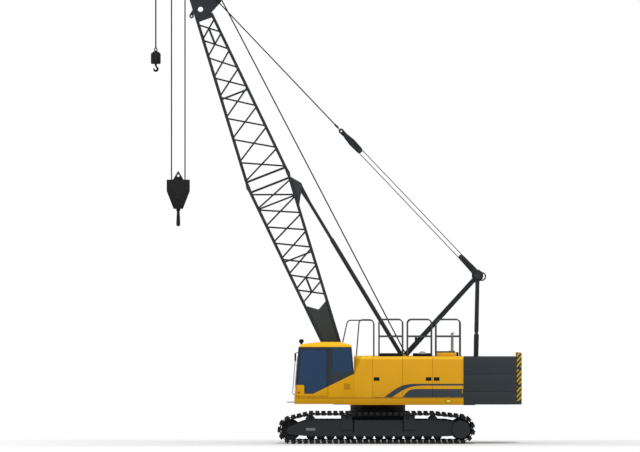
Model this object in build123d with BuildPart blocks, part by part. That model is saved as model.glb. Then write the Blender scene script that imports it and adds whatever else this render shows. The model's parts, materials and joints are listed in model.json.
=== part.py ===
# Crawler crane with a short lattice boom, built as separate named pieces.
# Units are millimetres. X points to the rear of the crane, Y to its right side
# and Z up. The origin lies on the ground under the slewing axis.

import os
from math import atan2, cos, degrees, radians, sin

from build123d import *

os.makedirs("parts", exist_ok=True)

# Clearances: a seat between pieces that touch, a pin in its bore, a door in its frame.
SEAT = 0.3
FIT = 0.05
DOOR_GAP = 6
FLOOR = (Align.CENTER, Align.CENTER, Align.MIN)

# Tracks and their running gear.
GAUGE = 3540
WHEELBASE = 4771
IDLER_X = -2443
IDLER_R = 275
TUMBLER_X = IDLER_X + WHEELBASE
TUMBLER_R = 300
SHOE_WIDTH = 760
SHOE_DEPTH = 105
SHOE_GROUND = 125
SHOE_ROOT = 90
SHOE_PITCH = 170
LINK_DEPTH = 28
CHORD_SAG = 15
SUPPORT_R = 160
SUPPORTS_X = (-1900, 1554)
LOOP_TOP = 787
SUPPORT_Z = LOOP_TOP - SUPPORT_R
IDLER_Z = SHOE_DEPTH + IDLER_R
TUMBLER_Z = SHOE_DEPTH + TUMBLER_R
ROLLER_R = 125
ROLLER_PITCH = 273
ROLLER_COUNT = 14
ROLLERS_X = -106
ROLLER_SIDES = 8
WHEEL_SIDES = 12
TRACK_MID = GAUGE / 2
FRAME_HALF = 200
CHEEK = 24
CHEEK_LOW, CHEEK_TOP = 210, 670
CHEEK_FRONT, CHEEK_REAR = -1950, 1900
ROLLER_SPACE = FRAME_HALF - CHEEK
HUB_COVER_R = 270

# Carbody and slewing ring.
BEAM_X = 880
BEAM_WIDTH = 280
BEAM_LOW, BEAM_HIGH = 400, 750
CORE_LENGTH, CORE_WIDTH = 1500, 1560
RING_R = 774
RING_WALL = 130
RING_SIDES = 20
RING_LOW = 895
RING_SEAM = 975
RING_PLATE = 36

# Revolving frame and house.
DECK_LOW, DECK_TOP = 1089, 1284
DECK_SKIN = 30
CAB_FRONT = -2345
DECK_FRONT = -1250
HOUSE_FRONT, HOUSE_REAR = -670, 2398
HOUSE_HALF = 1650
HOUSE_INNER = 700
HOUSE_TOP = 2449
HOUSE_WALL = 70
HOUSE_SHEET = 40
HOUSE_ROOF = 30
DOOR_THICK = 40
DOOR_LOW = DECK_TOP + 16
DOOR_HIGH = HOUSE_TOP - 27
DOOR_LIP = 30
TAIL_END = 2950
WEB_IN, WEB_OUT = 625, 675
LUG_IN, LUG_OUT = 465, 515
RAIL_TOP = 1640

# Boom pivot, strut pin, gantry head and bridle pin, as seen from the side.
FOOT_X, FOOT_Z = -895, 1773
FOOT_PIN_R = 45
FOOT_BOSS_R = 140
STRUT_X, STRUT_Z = 709, 2400
STRUT_PIN_R = 60
HEAD_X, HEAD_Z = 2807, 4709
BRIDLE_X, BRIDLE_Z = 2691, 4870
KNUCKLE_X, KNUCKLE_Z = 2776, 3144
KNUCKLE_DROP = 108
REAR_FOOT_X, REAR_FOOT_Z = 2745, 1500
GANTRY_Y = 400
GANTRY_LEG = 100
HEAD_AXLE_R = 70
LINK_Y = 540
STRUT_Y = 527

# Cab.
CAB_OUT, CAB_IN = -HOUSE_HALF, -720
CAB_SKIN = 50
GLASS = 12
PANE_EDGE = 45
CAB_BEAM_END, CAB_BEAM_RISE = -840, 24

# Counterweight.
WEIGHT_LOW, WEIGHT_TOP = 1098, 2435
WEIGHT_SEAMS = (1467, 1951)
WEIGHT_REAR = 4037
WEIGHT_CORNER = 340
TAIL_SLOT = 700

# Boom.
BOOM_ANGLE = 68.7
BOOM_LENGTH = 13000
JOINT_AT = 6035
BUTT_END = 5930
TOP_START = 6140
PLATE_END = 2300
HEAD_AT = 10900
DEPTH_FOOT, DEPTH_JOINT = 140, 600
TOP_TAPER = 0.0766
WIDTH_FOOT, WIDTH_JOINT, WIDTH_HEAD = 570, 620, 400
CHORD_R = 42
LACE_R = 24
FRAME_R = 30
HEAD_PLATE = 24
SHEAVE_R = 190
SHEAVE_HALF = 28
SHEAVE_SIDES = 10
FIXED_SIDES = 8
SHEAVES_Y = (-120, 120)
HEAD_PIN_R = 38
TIP_PIN_R = 26
TIP_AT, TIP_REAR = 13730, -190
GUIDE_AT, GUIDE_REAR = 11410, 416
ROPE_R = 12
STAY_AT, STAY_REAR = 12190, 120
STOP_AT, STOP_REAR = 5590, 760

ALONG = Vector(-cos(radians(BOOM_ANGLE)), 0, sin(radians(BOOM_ANGLE)))
REARWARD = Vector(sin(radians(BOOM_ANGLE)), 0, cos(radians(BOOM_ANGLE)))
ACROSS = Vector(0, 1, 0)
FOOT = Vector(FOOT_X, 0, FOOT_Z)
# A sketch on this plane uses the distance along the boom and the distance to its rear.
boom_side = Plane(FOOT, ALONG, ACROSS)


def save(built, name):
    """Label a finished piece and write it as its own file."""
    built.part.label = name
    export_step(built.part, f"parts/{name}.step")


def side_plane(y):
    """A plane across Y whose sketches use X and Z; it extrudes towards negative Y."""
    return Plane.XZ.offset(-y)


def boom_point(along, rear, across):
    """A point given by its place on the boom."""
    return FOOT + ALONG * along + REARWARD * rear + Vector(0, across, 0)


def half_depth(along):
    """Half the boom's depth between chord centres."""
    if along < JOINT_AT:
        return DEPTH_FOOT + (DEPTH_JOINT - DEPTH_FOOT) * along / JOINT_AT
    return DEPTH_JOINT - TOP_TAPER * (along - JOINT_AT)


def half_width(along):
    """Half the boom's width between chord centres."""
    if along < JOINT_AT:
        return WIDTH_FOOT + (WIDTH_JOINT - WIDTH_FOOT) * along / JOINT_AT
    share = min((along - JOINT_AT) / (HEAD_AT - JOINT_AT), 1)
    return WIDTH_JOINT + (WIDTH_HEAD - WIDTH_JOINT) * share


def chord_point(along, rear, right):
    """A point on a chord: rear and right are 1 or -1."""
    return boom_point(along, rear * half_depth(along), right * half_width(along))


def bar(start, end, radius, sides=6):
    """A straight tube drawn as a many-sided bar, kept aside until it is joined."""
    line = Plane(origin=start, z_dir=end - start)
    with BuildSketch(line) as section:
        RegularPolygon(radius, sides)
    return extrude(section.sketch, amount=(end - start).length, mode=Mode.PRIVATE)


def square_bar(start, end, half, across):
    """A straight bar of square section with two faces square to the given direction."""
    line = Plane(origin=start, x_dir=across.cross(end - start), z_dir=end - start)
    with BuildSketch(line) as section:
        Rectangle(2 * half, 2 * half)
    return extrude(section.sketch, amount=(end - start).length, mode=Mode.PRIVATE)


def around(points):
    """The points that a string stretched round all of them would touch, in order."""
    ordered = sorted(set(points))
    outline = []
    for run in (ordered, ordered[::-1]):
        side = []
        for x, y in run:
            while len(side) > 1 and (
                (side[-1][0] - side[-2][0]) * (y - side[-2][1])
                <= (side[-1][1] - side[-2][1]) * (x - side[-2][0])
            ):
                side.pop()
            side.append((x, y))
        outline += side[:-1]
    return outline


def hull_of(plane, *rounds):
    """The outline stretched round many-sided discs, each given as its centre and radius."""
    corners = []
    for x, y, radius in rounds:
        sides = 10 if radius > 90 else 8
        for number in range(sides):
            turn = radians(360 * number / sides)
            corners.append((x + radius * cos(turn), y + radius * sin(turn)))
    with BuildSketch(plane) as outline:
        Polygon(*around(corners), align=None)
    return outline.sketch


def sheave(axis, y, bore=0):
    """A rope wheel across the crane, with a bore that follows the turn of the boom's pins."""
    middle = Plane(axis, (1, 0, 0), ACROSS)
    with BuildPart(mode=Mode.PRIVATE) as wheel:
        for low, high, radius in (
            (-SHEAVE_HALF, -ROPE_R - 1, SHEAVE_R + 30),
            (-ROPE_R - 1, ROPE_R + 1, SHEAVE_R - ROPE_R - SEAT),
            (ROPE_R + 1, SHEAVE_HALF, SHEAVE_R + 30),
        ):
            with BuildSketch(middle.offset(y + low)):
                RegularPolygon(radius, SHEAVE_SIDES)
                if bore:
                    turn = BOOM_ANGLE - 180
                    RegularPolygon(bore, FIXED_SIDES, rotation=turn, mode=Mode.SUBTRACT)
            extrude(amount=high - low)
    return wheel.part


# Track: one closed loop, a band of links with a shoe standing out of each, mirrored.
with BuildSketch(Plane.XZ) as track_loop:
    for x, z, radius in (
        (IDLER_X, IDLER_Z, IDLER_R),
        (TUMBLER_X, TUMBLER_Z, TUMBLER_R),
        (SUPPORTS_X[0], SUPPORT_Z, SUPPORT_R),
        (SUPPORTS_X[1], SUPPORT_Z, SUPPORT_R),
    ):
        with Locations((x, z)):
            Circle(radius)
    make_hull()
loop = track_loop.sketch.face().outer_wire()
shoe_count = round(loop.length / SHOE_PITCH)
inner_edge, outer_edge = [], []
for number in range(shoe_count):
    place = loop @ (number / shoe_count)
    heading = loop % (number / shoe_count)
    spot = Location((place.X, place.Z), degrees(atan2(heading.Z, heading.X)))
    inner_edge.append(spot.position)
    for along, outward in (
        (-SHOE_ROOT / 2, LINK_DEPTH),
        (-SHOE_GROUND / 2, SHOE_DEPTH),
        (SHOE_GROUND / 2, SHOE_DEPTH),
        (SHOE_ROOT / 2, LINK_DEPTH),
    ):
        outer_edge.append((spot * Location((along, -outward))).position)
with BuildPart() as track_left:
    with BuildSketch(side_plane(-TRACK_MID)):
        Polygon(*outer_edge, align=None)
        Polygon(*inner_edge, align=None, mode=Mode.SUBTRACT)
    extrude(amount=SHOE_WIDTH / 2, both=True)
save(track_left, "track_left")
with BuildPart() as track_right:
    add(mirror(track_left.part, about=Plane.XZ))
save(track_right, "track_right")

# Track frame: a box with two cheeks that taper to the wheels, skids above and beam seats.
cheek_outline = hull_of(
    Plane.XZ,
    (IDLER_X, IDLER_Z, 120),
    (TUMBLER_X, TUMBLER_Z, 180),
    (CHEEK_FRONT, CHEEK_LOW + 60, 60),
    (CHEEK_REAR, CHEEK_LOW + 60, 60),
    (CHEEK_FRONT, CHEEK_TOP - 60, 60),
    (CHEEK_REAR, CHEEK_TOP - 60, 60),
)
box_low = SHOE_DEPTH + 2 * ROLLER_R + 40
with BuildPart() as frame_left:
    with Locations(((CHEEK_FRONT + CHEEK_REAR) / 2, -TRACK_MID, box_low)):
        Box(CHEEK_REAR - CHEEK_FRONT, 2 * FRAME_HALF, CHEEK_TOP - box_low, align=FLOOR)
    for low_y in (-TRACK_MID - FRAME_HALF, -TRACK_MID + ROLLER_SPACE):
        with BuildSketch(side_plane(low_y)) as cheek:
            add(cheek_outline)
        extrude(amount=-CHEEK)
    with BuildSketch(side_plane(-TRACK_MID)) as skids:
        with Locations(*[(x, SUPPORT_Z) for x in SUPPORTS_X]):
            RegularPolygon(SUPPORT_R - CHORD_SAG, 12)
    extrude(amount=ROLLER_SPACE, both=True)
    for x in (-BEAM_X, BEAM_X):
        with Locations((x, -TRACK_MID, box_low)):
            Box(BEAM_WIDTH + 30, 2 * FRAME_HALF + 80, LOOP_TOP - SEAT - box_low, align=FLOOR)
    with BuildSketch(side_plane(-TRACK_MID - FRAME_HALF)) as hub_cover:
        with Locations((TUMBLER_X, TUMBLER_Z)):
            RegularPolygon(HUB_COVER_R, 16)
    extrude(amount=90, taper=12)
save(frame_left, "track_frame_left")
with BuildPart() as frame_right:
    add(mirror(frame_left.part, about=Plane.XZ))
save(frame_right, "track_frame_right")

# Running gear between the cheeks: track rollers, idlers and driven tumblers.
with BuildPart() as rollers:
    for middle in (-TRACK_MID, TRACK_MID):
        with BuildSketch(side_plane(middle)):
            with Locations((ROLLERS_X, SHOE_DEPTH + ROLLER_R + SEAT)):
                with GridLocations(ROLLER_PITCH, 1, ROLLER_COUNT, 1):
                    RegularPolygon(ROLLER_R, ROLLER_SIDES)
        extrude(amount=ROLLER_SPACE, both=True)
save(rollers, "track_rollers")

for name, x, z, radius, hub in (
    # name, axle x, axle z, rim radius, hub radius
    ("idler_wheels", IDLER_X, IDLER_Z, IDLER_R - CHORD_SAG, 90),
    ("drive_tumblers", TUMBLER_X, TUMBLER_Z, TUMBLER_R - CHORD_SAG, 130),
):
    with BuildPart() as wheels:
        for middle in (-TRACK_MID, TRACK_MID):
            for half, round_r in ((ROLLER_SPACE - 30, radius - SEAT), (ROLLER_SPACE, hub)):
                with BuildSketch(side_plane(middle)):
                    with Locations((x, z)):
                        RegularPolygon(round_r, WHEEL_SIDES)
                extrude(amount=half, both=True)
    save(wheels, name)

# Carbody: a core with two box beams that widen into it, and the ring's base plate.
with BuildPart() as carbody:
    with BuildSketch(Plane.XY.offset(BEAM_LOW)) as plan:
        Rectangle(CORE_LENGTH, CORE_WIDTH)
        with GridLocations(2 * BEAM_X, 1, 2, 1):
            Rectangle(BEAM_WIDTH, 2 * (TRACK_MID - FRAME_HALF - 40))
        with Locations((0, 0)):
            Rectangle(2 * BEAM_X + BEAM_WIDTH, CORE_WIDTH * 0.7)
        chamfer(plan.vertices().filter_by(lambda v: abs(abs(v.X) - CORE_LENGTH / 2) < 1), 30)
    extrude(amount=BEAM_HIGH - BEAM_LOW)
    with BuildSketch(Plane.XY.offset(BEAM_LOW + 20)):
        RegularPolygon(RING_R, RING_SIDES)
    extrude(amount=RING_LOW - RING_PLATE - BEAM_LOW - 20)
    with BuildSketch(Plane.XY.offset(RING_LOW - RING_PLATE)):
        RegularPolygon(RING_R + 110, RING_SIDES)
    extrude(amount=RING_PLATE)
save(carbody, "carbody")

for name, low, high in (
    # name, lower face, upper face
    ("lower_ring", RING_LOW, RING_SEAM),
    ("slew_drum", RING_SEAM + SEAT, DECK_LOW),
):
    with BuildPart() as ring:
        with BuildSketch(Plane.XY.offset(low)):
            RegularPolygon(RING_R, RING_SIDES)
            RegularPolygon(RING_R - RING_WALL, RING_SIDES, mode=Mode.SUBTRACT)
        extrude(amount=high - low)
    save(ring, name)


def web_lug(plane, x, z, radius, base_low, base_high):
    """The outline of a plate that stands on the deck and rounds off at a pin."""
    turns = [radians(360 * number / 14) for number in range(14)]
    corners = [(x + radius * cos(turn), z + radius * sin(turn)) for turn in turns]
    with BuildSketch(plane) as outline:
        Polygon(*around([*corners, (base_low, DECK_TOP - 1), (base_high, DECK_TOP - 1)]), align=None)
    return outline.sketch


# Winches stand between the webs: name, x, z, drum radius, flange radius.
WINCHES = (
    ("main_winch_drum", 780, 1700, 235, 320),
    ("auxiliary_winch_drum", 1520, 1640, 200, 290),
    ("boom_winch_drum", 2180, 1640, 200, 290),
)
WINCH_HALF = 480
WINCH_PIN_R = 30
WINCH_HUB = 560

# Revolving frame: a deck with hollow side bays, two webs, the boom's lugs and fixed pins.
tail_half = TAIL_SLOT - SEAT
winch_pins = [(x, z, WINCH_PIN_R) for name, x, z, core, flange in WINCHES]
with BuildPart() as revolving_frame:
    with BuildSketch(Plane.XY.offset(DECK_LOW)) as deck:
        with BuildLine():
            Polyline(
                (CAB_FRONT, -HOUSE_HALF),
                (HOUSE_REAR, -HOUSE_HALF),
                (HOUSE_REAR, -tail_half),
                (TAIL_END, -tail_half),
                (TAIL_END, tail_half),
                (HOUSE_REAR, tail_half),
                (HOUSE_REAR, HOUSE_HALF),
                (DECK_FRONT, HOUSE_HALF),
                (DECK_FRONT, CAB_IN),
                (CAB_FRONT, CAB_IN),
                close=True,
            )
        make_face()
    extrude(amount=DECK_TOP - DECK_LOW)
    for low_y, high_y, low_x in (
        (-HOUSE_HALF + 40, -RING_R - 20, CAB_FRONT + 40),
        (RING_R + 20, HOUSE_HALF - 40, DECK_FRONT + 40),
    ):
        with Locations(((low_x + HOUSE_REAR - 40) / 2, (low_y + high_y) / 2, DECK_LOW)):
            Box(
                HOUSE_REAR - 40 - low_x,
                high_y - low_y,
                DECK_TOP - DECK_SKIN - DECK_LOW,
                align=FLOOR,
                mode=Mode.SUBTRACT,
            )
    with Locations((CAB_FRONT, CAB_OUT, DECK_LOW)):
        Box(
            CAB_BEAM_END - CAB_FRONT,
            CAB_IN - CAB_OUT,
            CAB_BEAM_RISE,
            align=(Align.MIN, Align.MIN, Align.MIN),
            mode=Mode.SUBTRACT,
        )
    for low_y in (-WEB_OUT, WEB_IN):
        with BuildSketch(side_plane(low_y)) as web:
            add(web_lug(Plane.XZ, FOOT_X, FOOT_Z, FOOT_BOSS_R, DECK_FRONT + 60, -560))
            add(web_lug(Plane.XZ, STRUT_X, STRUT_Z, 110, 330, 1250))
            with Locations(((DECK_FRONT + TAIL_END) / 2 + 200, DECK_TOP)):
                Rectangle(
                    TAIL_END - DECK_FRONT - 400,
                    RAIL_TOP - DECK_TOP,
                    align=(Align.CENTER, Align.MIN),
                )
            with Locations(*[(x, z) for x, z, radius in winch_pins]):
                RegularPolygon(150, 12)
        extrude(amount=-(WEB_OUT - WEB_IN))
    for low_y in (-LUG_OUT, LUG_IN):
        extrude(
            web_lug(side_plane(low_y), FOOT_X, FOOT_Z, FOOT_BOSS_R, DECK_FRONT + 60, -560),
            amount=-(LUG_OUT - LUG_IN),
        )
    for low_y, high_y, pins in (
        # each pin spans these sides: low y, high y, then x, z and radius of each pin
        (-WEB_IN, -LUG_OUT, ((FOOT_X, FOOT_Z, FOOT_PIN_R),)),
        (LUG_OUT, WEB_IN, ((FOOT_X, FOOT_Z, FOOT_PIN_R),)),
        (-WEB_IN, WEB_IN, ((STRUT_X, STRUT_Z, STRUT_PIN_R),)),
        (-WEB_IN, -WINCH_HALF, winch_pins),
        (WINCH_HALF, WEB_IN, winch_pins),
    ):
        for x, z, radius in pins:
            with BuildSketch(side_plane(low_y)):
                with Locations((x, z)):
                    Circle(radius)
            extrude(amount=-(high_y - low_y))
    with BuildSketch(Plane.XZ):
        with Locations((REAR_FOOT_X, REAR_FOOT_Z)):
            RegularPolygon(FOOT_PIN_R, FIXED_SIDES)
    extrude(amount=WEB_IN, both=True)
save(revolving_frame, "revolving_frame")

for name, x, z, core, flange in WINCHES:
    with BuildPart() as drum:
        for half, radius in ((WINCH_HUB, 110), (WINCH_HALF, core)):
            with BuildSketch(Plane.XZ):
                with Locations((x, z)):
                    RegularPolygon(radius, 10)
            extrude(amount=half, both=True)
        for low_y in (-WINCH_HALF, WINCH_HALF - 30):
            with BuildSketch(side_plane(low_y)):
                with Locations((x, z)):
                    RegularPolygon(flange, 12)
            extrude(amount=-30)
        with BuildSketch(Plane.XZ):
            with Locations((x, z)):
                Circle(WINCH_PIN_R + FIT)
        extrude(amount=WINCH_HUB + 10, both=True, mode=Mode.SUBTRACT)
    save(drum, name)

# Houses: sheet covers with a raked front corner, hollow, three doors in the outer wall.
# Doors: name, hinge x, free edge x.
DOORS = (
    ("front", 687, -152),
    ("middle", 693, 1528),
    ("rear", 2366, 1534),
)
RAKE_X, RAKE_Y, RAKE_Z = 225, 250, 535


def house_block(rake_inset, side_inset, front_inset, top_inset):
    """A block of the left house's plan, cut at its raked front corner."""
    low_x, high_x = HOUSE_FRONT + front_inset, HOUSE_REAR - front_inset
    outer_y, inner_y = -HOUSE_HALF + side_inset, -HOUSE_INNER - front_inset
    top_z = HOUSE_TOP - top_inset
    with BuildPart(mode=Mode.PRIVATE) as block:
        with Locations(((low_x + high_x) / 2, (outer_y + inner_y) / 2, DECK_TOP)):
            Box(high_x - low_x, inner_y - outer_y, top_z - DECK_TOP, align=FLOOR)
        rake = Plane(
            origin=(HOUSE_FRONT + RAKE_X, outer_y, HOUSE_TOP),
            x_dir=(-RAKE_X, RAKE_Y, 0),
            z_dir=Vector(-RAKE_X, RAKE_Y, 0).cross(Vector(-RAKE_X, 0, -RAKE_Z)),
        )
        split(bisect_by=rake.offset(rake_inset), keep=Keep.BOTTOM)
    return block.part


with BuildPart() as house_left:
    add(house_block(0, 0, 0, 0))
    add(house_block(-HOUSE_SHEET, HOUSE_WALL, HOUSE_SHEET, HOUSE_ROOF), mode=Mode.SUBTRACT)
    for name, hinge_x, free_x in DOORS:
        wide = abs(hinge_x - free_x)
        tall = DOOR_HIGH - DOOR_LOW
        with Locations(((hinge_x + free_x) / 2, -HOUSE_HALF, (DOOR_LOW + DOOR_HIGH) / 2)):
            Box(wide + DOOR_GAP, 2 * DOOR_THICK, tall + DOOR_GAP, mode=Mode.SUBTRACT)
            Box(wide - 2 * DOOR_LIP, 4 * DOOR_THICK, tall - 2 * DOOR_LIP, mode=Mode.SUBTRACT)
save(house_left, "house_left")
with BuildPart() as house_right:
    add(mirror(house_left.part, about=Plane.XZ))
save(house_right, "house_right")

for side, sign in (("left", -1), ("right", 1)):
    for name, hinge_x, free_x in DOORS:
        outer_y = sign * HOUSE_HALF
        inner_y = sign * (HOUSE_HALF - DOOR_THICK + SEAT)
        with BuildPart() as door:
            with BuildSketch(side_plane(min(outer_y, inner_y))):
                with Locations(((hinge_x + free_x) / 2, (DOOR_LOW + DOOR_HIGH) / 2)):
                    Rectangle(abs(hinge_x - free_x), DOOR_HIGH - DOOR_LOW)
            extrude(amount=-abs(outer_y - inner_y))
        save(door, f"door_{side}_{name}")

ENGINE_LENGTH, ENGINE_WIDTH, ENGINE_HEIGHT = 1700, 560, 850
with BuildPart() as engine:
    with Locations((900, (HOUSE_HALF + HOUSE_INNER) / 2, DECK_TOP)):
        Box(ENGINE_LENGTH, ENGINE_WIDTH, ENGINE_HEIGHT, align=FLOOR)
save(engine, "engine_block")

# On the roofs: raised hoods, dark walkway strips beside the rails and an exhaust.
HOOD_LOW_X, HOOD_HIGH_X = 1624, 2201
HOOD_HEIGHT = 125
with BuildPart() as roof_hood:
    for y in (-1180, 1180):
        with BuildSketch(Plane.XY.offset(HOUSE_TOP)) as hood:
            with Locations(((HOOD_LOW_X + HOOD_HIGH_X) / 2, y)):
                Rectangle(HOOD_HIGH_X - HOOD_LOW_X, 760)
        extrude(amount=HOOD_HEIGHT, taper=8)
save(roof_hood, "roof_hoods")

STRIP_HEIGHT = 70
STRIPS = (
    # low x, high x
    (34, 698),
    (991, 1498),
)
with BuildPart() as walkways:
    for low_x, high_x in STRIPS:
        for y in (-1440, 1440):
            with Locations(((low_x + high_x) / 2, y, HOUSE_TOP)):
                Box(high_x - low_x, 260, STRIP_HEIGHT, align=FLOOR)
save(walkways, "walkway_strips")

EXHAUST_X, EXHAUST_Y = 2103, 1180
EXHAUST_FOOT = HOUSE_TOP + HOOD_HEIGHT
EXHAUST_R = 50
EXHAUST_TOP = 3096
with BuildPart() as exhaust:
    with BuildSketch(Plane.XY.offset(EXHAUST_FOOT)):
        with Locations((EXHAUST_X, EXHAUST_Y)):
            RegularPolygon(EXHAUST_R + 40, 16)
    extrude(amount=60, taper=30)
    with BuildSketch(Plane.XY.offset(EXHAUST_FOOT)):
        with Locations((EXHAUST_X, EXHAUST_Y)):
            RegularPolygon(EXHAUST_R, 12)
    extrude(amount=EXHAUST_TOP - EXHAUST_FOOT)
    with BuildSketch(Plane.XY.offset(EXHAUST_TOP - 160)):
        with Locations((EXHAUST_X, EXHAUST_Y)):
            RegularPolygon(EXHAUST_R - 6, 12)
    extrude(amount=200, mode=Mode.SUBTRACT)
save(exhaust, "exhaust_pipe")

# Counterweight: three slabs with a slot at the front for the gantry's rear links.
with BuildSketch(Plane.XY) as weight_plan:
    with Locations(((HOUSE_REAR + WEIGHT_REAR) / 2, 0)):
        Rectangle(WEIGHT_REAR - HOUSE_REAR, 2 * HOUSE_HALF)
    chamfer(weight_plan.vertices().group_by(Axis.X)[-1], WEIGHT_CORNER, WEIGHT_CORNER * 1.15)
    with Locations(((HOUSE_REAR + TAIL_END + SEAT) / 2, 0)):
        Rectangle(TAIL_END + SEAT - HOUSE_REAR, 2 * TAIL_SLOT, mode=Mode.SUBTRACT)
levels = (WEIGHT_LOW, *WEIGHT_SEAMS, WEIGHT_TOP)
for name, low, high in zip(("base", "middle", "top"), levels, levels[1:]):
    with BuildPart() as slab:
        with BuildSketch(Plane.XY.offset(low)):
            add(weight_plan.sketch)
        extrude(amount=high - low)
        chamfer(slab.faces().sort_by(Axis.Z)[-1].outer_wire().edges(), 12)
        if name == "base":
            for y in (-1175, 1175):
                with Locations((HOUSE_REAR + 165, y, low + 1)):
                    Box(330, 2 * 470, 18, align=(Align.CENTER, Align.CENTER, Align.MAX))
    save(slab, f"counterweight_{name}")

# Gantry: two front legs from the strut pin to the head, and the head's plates and shafts.
with BuildPart() as gantry:
    for middle in (-GANTRY_Y, GANTRY_Y):
        leg_low = side_plane(middle - GANTRY_LEG / 2)
        extrude(
            hull_of(leg_low, (STRUT_X, STRUT_Z, 72), (HEAD_X, HEAD_Z, 62)), amount=-GANTRY_LEG
        )
        extrude(
            hull_of(leg_low, (HEAD_X, HEAD_Z, 135), (BRIDLE_X, BRIDLE_Z, 85)),
            amount=-GANTRY_LEG,
        )
        with BuildSketch(leg_low):
            with Locations((STRUT_X, STRUT_Z)):
                RegularPolygon(100, 14)
        extrude(amount=-GANTRY_LEG)
    with BuildSketch(Plane.XZ):
        with Locations((STRUT_X, STRUT_Z)):
            Circle(STRUT_PIN_R + FIT)
    extrude(amount=HOUSE_HALF, both=True, mode=Mode.SUBTRACT)
    for x, z, radius, half in (
        # shaft x, shaft z, radius, half length
        (HEAD_X, HEAD_Z, HEAD_AXLE_R, LINK_Y + 45),
        (BRIDLE_X, BRIDLE_Z, 40, GANTRY_Y),
        ((STRUT_X + HEAD_X) / 2, (STRUT_Z + HEAD_Z) / 2, 45, GANTRY_Y),
    ):
        with BuildSketch(Plane.XZ):
            with Locations((x, z)):
                RegularPolygon(radius, FIXED_SIDES)
        extrude(amount=half, both=True)
save(gantry, "gantry")

# Rear links: an upper and a lower bar a side, pinned at a knuckle and at the webs.
LINK_THICK = 60
with BuildPart() as rear_links:
    for middle in (-LINK_Y, LINK_Y):
        link_low = side_plane(middle - LINK_THICK / 2)
        extrude(
            hull_of(link_low, (HEAD_X, HEAD_Z, 95), (HEAD_X - 10, HEAD_Z - 200, 52)),
            amount=-LINK_THICK,
        )
        extrude(
            hull_of(link_low, (HEAD_X, HEAD_Z, 52), (KNUCKLE_X, KNUCKLE_Z, 56)),
            amount=-LINK_THICK,
        )
        extrude(
            hull_of(
                link_low,
                (KNUCKLE_X, KNUCKLE_Z - KNUCKLE_DROP, 66),
                (REAR_FOOT_X, REAR_FOOT_Z, 56),
            ),
            amount=-LINK_THICK,
        )
        with BuildSketch(link_low):
            with Locations((REAR_FOOT_X, REAR_FOOT_Z)):
                RegularPolygon(90, 12)
        extrude(amount=-LINK_THICK)
    for x, z, radius in (
        (HEAD_X, HEAD_Z, HEAD_AXLE_R + SEAT),
        (REAR_FOOT_X, REAR_FOOT_Z, FOOT_PIN_R + SEAT),
    ):
        with BuildSketch(Plane.XZ):
            with Locations((x, z)):
                RegularPolygon(radius, FIXED_SIDES)
        extrude(amount=HOUSE_HALF, both=True, mode=Mode.SUBTRACT)
save(rear_links, "gantry_rear_links")

# Cab: a shell with rounded roof edges, its windows and the door opening cut.
CAB_REAR = HOUSE_FRONT - SEAT
CAB_MID = (CAB_OUT + CAB_IN) / 2
CAB_PROFILE = (
    (CAB_FRONT, DECK_TOP),
    (-2235, 2690),
    (-2160, 2790),
    (-1627, 2852),
    (-1064, 2852),
    (-745, 2770),
    (CAB_REAR, 1965),
    (CAB_REAR, DECK_TOP),
)
DOOR_HINGE_X = -1405
DOOR_PROFILE = ((-2300, 1330), (-2180, 2690), (DOOR_HINGE_X, 2690), (DOOR_HINGE_X, 1330))
DOOR_WINDOW = (
    (-2240, 1690),
    (-2075, 1665),
    (-2035, 1410),
    (-1790, 1445),
    (-1450, 1615),
    (-1450, 2650),
    (-2155, 2650),
)
SIDE_WINDOW = ((-1285, 1720), (-1285, 2700), (-780, 2700), (-715, 1965))
RIGHT_WINDOW = ((-2250, 1640), (-2160, 2690), (-780, 2700), (-715, 1965), (-1240, 1720))
FRONT_WINDOW_LOW, FRONT_WINDOW_HIGH = 1500, 2640
REAR_WINDOW_LOW, REAR_WINDOW_HIGH = 1990, 2650
GLASS_SET = (CAB_SKIN - GLASS) / 2


def cab_front(z):
    """The x of the cab's front face at a height, up to its brow."""
    brow_x, brow_z = CAB_PROFILE[1]
    return CAB_FRONT + (brow_x - CAB_FRONT) * (z - DECK_TOP) / (brow_z - DECK_TOP)


def cab_outline(plane, inset):
    """The cab's outline from the side, drawn in by the given amount."""
    with BuildSketch(plane) as outline:
        Polygon(*CAB_PROFILE, align=None)
        chamfer(outline.vertices().filter_by(lambda v: v.Z > 2600), 35)
        if inset:
            offset(amount=-inset, mode=Mode.REPLACE)
    return outline.sketch


def pane(plane, points, radius):
    """A window outline with its corners cut."""
    with BuildSketch(plane) as outline:
        Polygon(*points, align=None)
        chamfer(outline.vertices(), radius)
    return outline.sketch


end_opening = CAB_IN - CAB_OUT - 2 * (CAB_SKIN + PANE_EDGE)


def end_pane(x, low, high):
    """A bent glass sheet that follows the cab's outline at its front or rear."""
    with BuildPart(mode=Mode.PRIVATE) as sheet:
        for inset, mode in ((GLASS_SET, Mode.ADD), (GLASS_SET + GLASS, Mode.SUBTRACT)):
            outline = cab_outline(side_plane(CAB_MID), inset)
            extrude(outline, amount=end_opening / 2, both=True, mode=mode)
        with Locations((x, CAB_MID, low)):
            Box(600, end_opening, high - low, align=FLOOR, mode=Mode.INTERSECT)
    return sheet.part


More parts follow.
